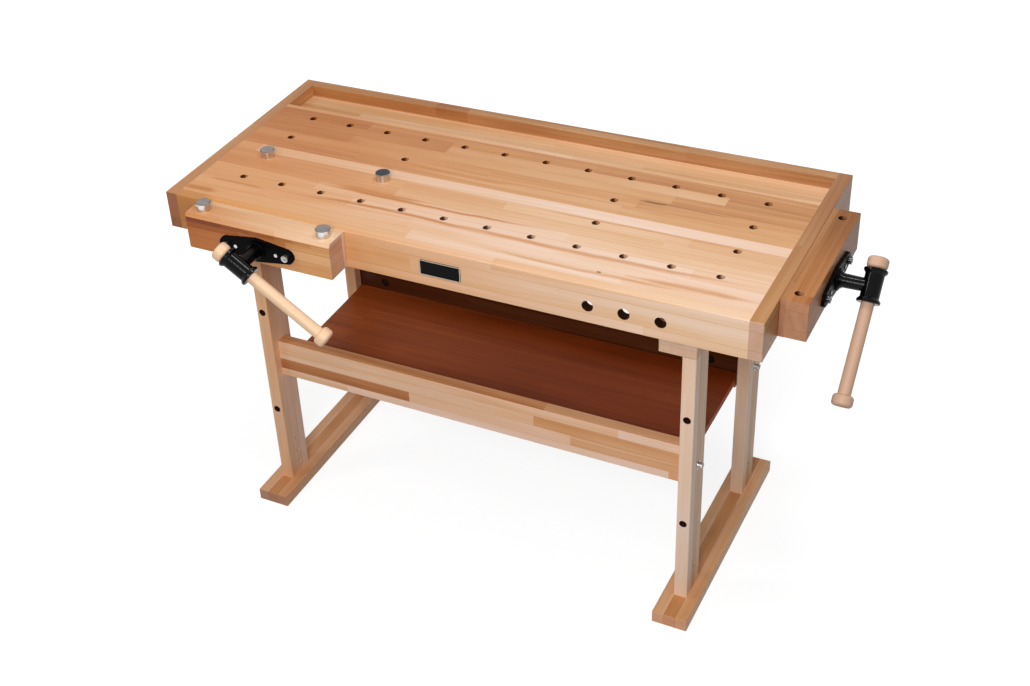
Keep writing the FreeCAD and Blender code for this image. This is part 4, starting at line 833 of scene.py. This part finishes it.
# A dog whose top carries a painted dark reflection.
steel_with_painted_dark_top = steel_material("steel_with_painted_dark_top", "Z", top=(70, 69, 78))
plated_steel = steel_material("plated_steel", "Y", top=(250, 250, 252))
dress(steel["Z"], "bench_dog_left", "jaw_dog_left", "jaw_dog_right", "bearer_bolts",
      "cleat_screws")
dress(steel["X"], "end_bracket_screws", "end_screw_collar", "stretcher_bolts", "stretcher_washers")
dress(steel["Y"], "front_bracket_screws", "front_screw_collar")
dress(rod_steel["X"], "end_guide_rods")
dress(rod_steel["Y"], "front_guide_rods")
dress(painted_shade_steel, "end_rod_bolts", "end_flange_screws", "barrel_nuts")
dress(steel_with_painted_dark_top, "bench_dog_right")
dress(plated_steel, "front_rod_bolts", "front_flange_screws")

# %% [markdown]
# ## The blank plate
# A small black plate is fixed to the apron. It has a thin pale line just inside its edge and
# nothing else on it.

# %% Plate
LINE_OUTSIDE = (0.0004, 0.0006)
LINE_INSIDE = (0.0022, 0.0026)


def plate_material():
    material, graph, shader = new_material("black_plate")
    low, high = (Vector(corner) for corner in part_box("name_plate"))
    half = (high - low) / 2
    centred = graph.node("ShaderNodeMapping", vector_type="TEXTURE")
    centred.inputs["Location"].default_value = (low + high) / 2
    graph.feed(centred.inputs["Vector"], graph.node("ShaderNodeTexCoord").outputs["Object"])
    places = graph.split(centred.outputs[0])
    aside = graph.math("SUBTRACT", half.x, graph.math("ABSOLUTE", places[0]))
    above = graph.math("SUBTRACT", half.z, graph.math("ABSOLUTE", places[2]))
    inset = graph.math("MINIMUM", aside, above)
    line = graph.times(graph.spread(inset, *LINE_OUTSIDE),
                       graph.spread(inset, *LINE_INSIDE, 1.0, 0.0))
    grain = graph.noise(places, (900.0, 900.0, 900.0))
    field = cloud_ramp(graph, grain, (8, 7, 7), (14, 13, 13))
    graph.feed(shader.inputs["Base Color"], graph.blend(line, field, shade(214, 202, 190)))
    graph.feed(shader.inputs["Roughness"], graph.spread(grain, *CLOUD_RANGE, 0.26, 0.36))
    shader.inputs["Specular IOR Level"].default_value = 0.06
    return material


dress(plate_material(), "name_plate")

# %% [markdown]
# ## Cut threads
# The vise screws have a square-shouldered thread, 6 mm from turn to turn, that shows when a jaw is
# open. The solid is a plain bar of the same outer size. A thread could be a bump, but its notched
# outline shows against the light, so it is modelled: a core bar, and one ridge that starts as a
# four-sided profile and is spun about the axis while each step also moves along it. The first
# part of the screw, which turns in the jaw, stays plain.

# %% The threaded vise screws
THREAD_PITCH = 0.006
THREAD_STEPS = 24
PLAIN_LENGTH = THREAD_PITCH * 17
ROOT_DEPTH = 0.0027
CREST_HALF = 0.0013
ROOT_HALF = 0.0022
RIDGE_SINK = 0.0002
BAR_OVERLAP = 0.0005
SMOOTH_BELOW = math.radians(35)


def add_bar(mesh, axis, start, length, radius, bevel):
    """A solid bar along the axis from the start, with its end edges bevelled."""
    turn = Vector((0, 0, 1)).rotation_difference(axis).to_matrix().to_4x4()
    made = bmesh.ops.create_cone(
        mesh, cap_ends=True, segments=48, radius1=radius, radius2=radius, depth=length,
        matrix=Matrix.Translation(start + axis * length / 2) @ turn)
    caps = [face for vert in made["verts"] for face in vert.link_faces if len(face.verts) > 4]
    rims = {edge for face in caps for edge in face.edges}
    bmesh.ops.bevel(mesh, geom=list(rims), offset=bevel, segments=2, profile=0.5,
                    affect="EDGES", material=-1)


def add_ridge(mesh, axis, aside, start, length, radius):
    """One helical ridge of the thread, closed at both ends."""
    turns = int(length / THREAD_PITCH) - 1
    first = start + axis * THREAD_PITCH * 0.75
    low = radius - ROOT_DEPTH - RIDGE_SINK
    corners = ((low, -ROOT_HALF), (radius, -CREST_HALF), (radius, CREST_HALF), (low, ROOT_HALF))
    verts = [mesh.verts.new(first + aside * out + axis * way) for out, way in corners]
    profile = mesh.faces.new(verts)
    bmesh.ops.spin(
        mesh, geom=[profile, *profile.edges, *profile.verts], cent=first, axis=axis,
        dvec=axis * THREAD_PITCH / THREAD_STEPS, angle=math.tau * turns,
        steps=turns * THREAD_STEPS, use_merge=False, use_duplicate=False)


def finish_piece(mesh, name, material):
    """Turn a bmesh into an object at the origin, facing outward and smooth on its rounds."""
    bmesh.ops.remove_doubles(mesh, verts=mesh.verts, dist=0.000001)
    bmesh.ops.recalc_face_normals(mesh, faces=mesh.faces)
    for face in mesh.faces:
        face.smooth = True
    for edge in mesh.edges:
        edge.smooth = len(edge.link_faces) == 2 and edge.calc_face_angle(0.0) < SMOOTH_BELOW
    data = bpy.data.meshes.new(name)
    mesh.to_mesh(data)
    mesh.free()
    piece = bpy.data.objects.new(name, data)
    bpy.context.scene.collection.objects.link(piece)
    data.materials.append(material)
    print(name, len(data.polygons), "faces")
    return piece


def threaded_screw(vise, inward, aside, letter):
    """A vise's screw: plain in the hub and the jaw, and threaded from there to its end."""
    node = vise + "_screw"
    low, high = (Vector(corner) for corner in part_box(node))
    size = high - low
    reach = abs(size.dot(inward))
    radius = abs(size.dot(aside)) / 2
    start = (low + high) / 2 - inward * reach / 2
    threaded = reach - PLAIN_LENGTH
    mesh = bmesh.new()
    add_bar(mesh, inward, start, PLAIN_LENGTH, radius, bevel=0.0006)
    add_bar(mesh, inward, start + inward * (PLAIN_LENGTH - BAR_OVERLAP), threaded + BAR_OVERLAP,
            radius - ROOT_DEPTH, bevel=0.0012)
    add_ridge(mesh, inward, aside, start + inward * PLAIN_LENGTH, threaded, radius)
    piece = finish_piece(mesh, vise + "_threaded_screw", rod_steel[letter])
    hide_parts(node)
    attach(piece, vise + "_screw")


threaded_screw("front", Vector((0, 1, 0)), Vector((1, 0, 0)), "Y")
threaded_screw("end", Vector((-1, 0, 0)), Vector((0, 1, 0)), "X")

# %% [markdown]
# ## Studio
# The bench stands on a white sweep under soft lamps. To the camera the floor adds a plain glow to
# a matt surface, so it is white but for the bench's own soft shadow. The glow is a little weaker
# under the bench, which paints a faint shadow there. Other light sees grey paper, which lights
# the undersides from below.

# %% Floor
FLOOR_HALF = 20.0
MATT_GREY = 0.34
PAPER_GREY = 0.28
# The glow rises from under the bench to the open floor: a painted shadow under the bench.
SHADOW_GLOW_REACH = (0.8, 1.8)
SHADOW_GLOW_LEVELS = (0.82, 1.0)


def matt_shader(graph, grey):
    made = graph.node("ShaderNodeBsdfDiffuse")
    made.inputs["Color"].default_value = (grey, grey, grey, 1)
    return made.outputs[0]


def floor_material():
    material, graph, shader = new_material("white_sweep")
    material.node_tree.nodes.remove(shader)
    glow = graph.node("ShaderNodeEmission")
    x, y = graph.split(graph.node("ShaderNodeTexCoord").outputs["Object"])[:2]
    distance = graph.math("SQRT", graph.plus(graph.times(x, x), graph.times(y, y)))
    graph.feed(glow.inputs["Strength"], graph.spread(distance, *SHADOW_GLOW_REACH, *SHADOW_GLOW_LEVELS))
    both = graph.node("ShaderNodeAddShader")
    graph.feed(both.inputs[0], matt_shader(graph, MATT_GREY))
    graph.feed(both.inputs[1], glow.outputs[0])
    choice = graph.node("ShaderNodeMixShader")
    graph.feed(choice.inputs[0], graph.background_seen())
    graph.feed(choice.inputs[1], matt_shader(graph, PAPER_GREY))
    graph.feed(choice.inputs[2], both.outputs[0])
    output = material.node_tree.nodes["Material Output"]
    graph.feed(output.inputs["Surface"], choice.outputs[0])
    return material


sweep = bmesh.new()
bmesh.ops.create_grid(sweep, x_segments=2, y_segments=2, size=FLOOR_HALF)
floor = finish_piece(sweep, "floor", floor_material())

# %% [markdown]
# The top and the front of the bench are its bright sides and the right end stays in the shade. A
# small lamp hangs above and lights the top, a large one stands in front, and a narrow one at the
# front left draws a bright line along the round parts. The sky fills the rest evenly, and the
# camera sees it as plain white.

# %% Lamps and sky
def soft_lamp(name, place, target, size, watts):
    """A rectangular lamp at a place, turned to its target."""
    lamp = bpy.data.lights.new(name, "AREA")
    lamp.shape = "RECTANGLE"
    lamp.size, lamp.size_y = size
    lamp.energy = watts
    holder = bpy.data.objects.new(name, lamp)
    way = Vector(target) - Vector(place)
    holder.location = place
    holder.rotation_euler = way.to_track_quat("-Z", "Y").to_euler()
    bpy.context.scene.collection.objects.link(holder)


SKY_LEVEL = 0.22
soft_lamp("lamp_over", (0.66, 0.26, 3.2), (0.4, 0.1, 0.9), (0.40, 0.7), 21.5)
soft_lamp("lamp_front", (0.80, -2.90, 2.6), (0.2, -0.2, 0.8), (1.2, 1.2), 72.0)
soft_lamp("lamp_edge", (-1.85, -1.35, 2.7), (0.9, 0.0, 0.88), (0.16, 1.1), 12.0)

world = bpy.data.worlds.new("studio")
bpy.context.scene.world = world
world.use_nodes = True
sky = Graph(world.node_tree)
background = world.node_tree.nodes["Background"]
background.inputs["Color"].default_value = (1, 1, 1, 1)
strength = sky.math("MULTIPLY_ADD", sky.background_seen(), 1 - SKY_LEVEL, SKY_LEVEL)
sky.feed(background.inputs["Strength"], strength)
bpy.context.scene.view_settings.view_transform = "Standard"

# %% [markdown]
# ## Camera
# The view is from above the front right corner. The camera's place is given from the middle of the
# top, with its turn as heading, pitch and roll, and the lens in pixels of a frame 1030 wide, as a
# camera's calibration gives them.

# %% Camera
FRAME_WIDTH, FRAME_HEIGHT = 1030, 686
SENSOR_WIDTH = 36.0
FOCAL_PIXELS = 1524.6
AXIS_PIXEL = (430.374, 341.352)
HEADING, PITCH, ROLL = 0.531147, -0.610003, 0.0797695
CAMERA_PLACE = Vector((1.442766, -2.852585, 2.721605))

camera_data = bpy.data.cameras.new("camera")
camera_data.sensor_fit = "HORIZONTAL"
camera_data.sensor_width = SENSOR_WIDTH
camera_data.lens = FOCAL_PIXELS * SENSOR_WIDTH / FRAME_WIDTH
camera_data.shift_x = (FRAME_WIDTH / 2 - AXIS_PIXEL[0]) / FRAME_WIDTH
camera_data.shift_y = (AXIS_PIXEL[1] - FRAME_HEIGHT / 2) / FRAME_WIDTH
camera = bpy.data.objects.new("camera", camera_data)
heading = Matrix.Rotation(HEADING, 4, "Z")
pitch = Matrix.Rotation(PITCH, 4, "X")
roll = Matrix.Rotation(ROLL, 4, "Y")
upright = Matrix.Rotation(math.pi / 2, 4, "X")
place = Matrix.Translation(TOP_MIDDLE + CAMERA_PLACE)
camera.matrix_world = place @ heading @ pitch @ roll @ upright
bpy.context.scene.collection.objects.link(camera)
bpy.context.scene.camera = camera
print("lens", round(camera_data.lens, 2), "mm")
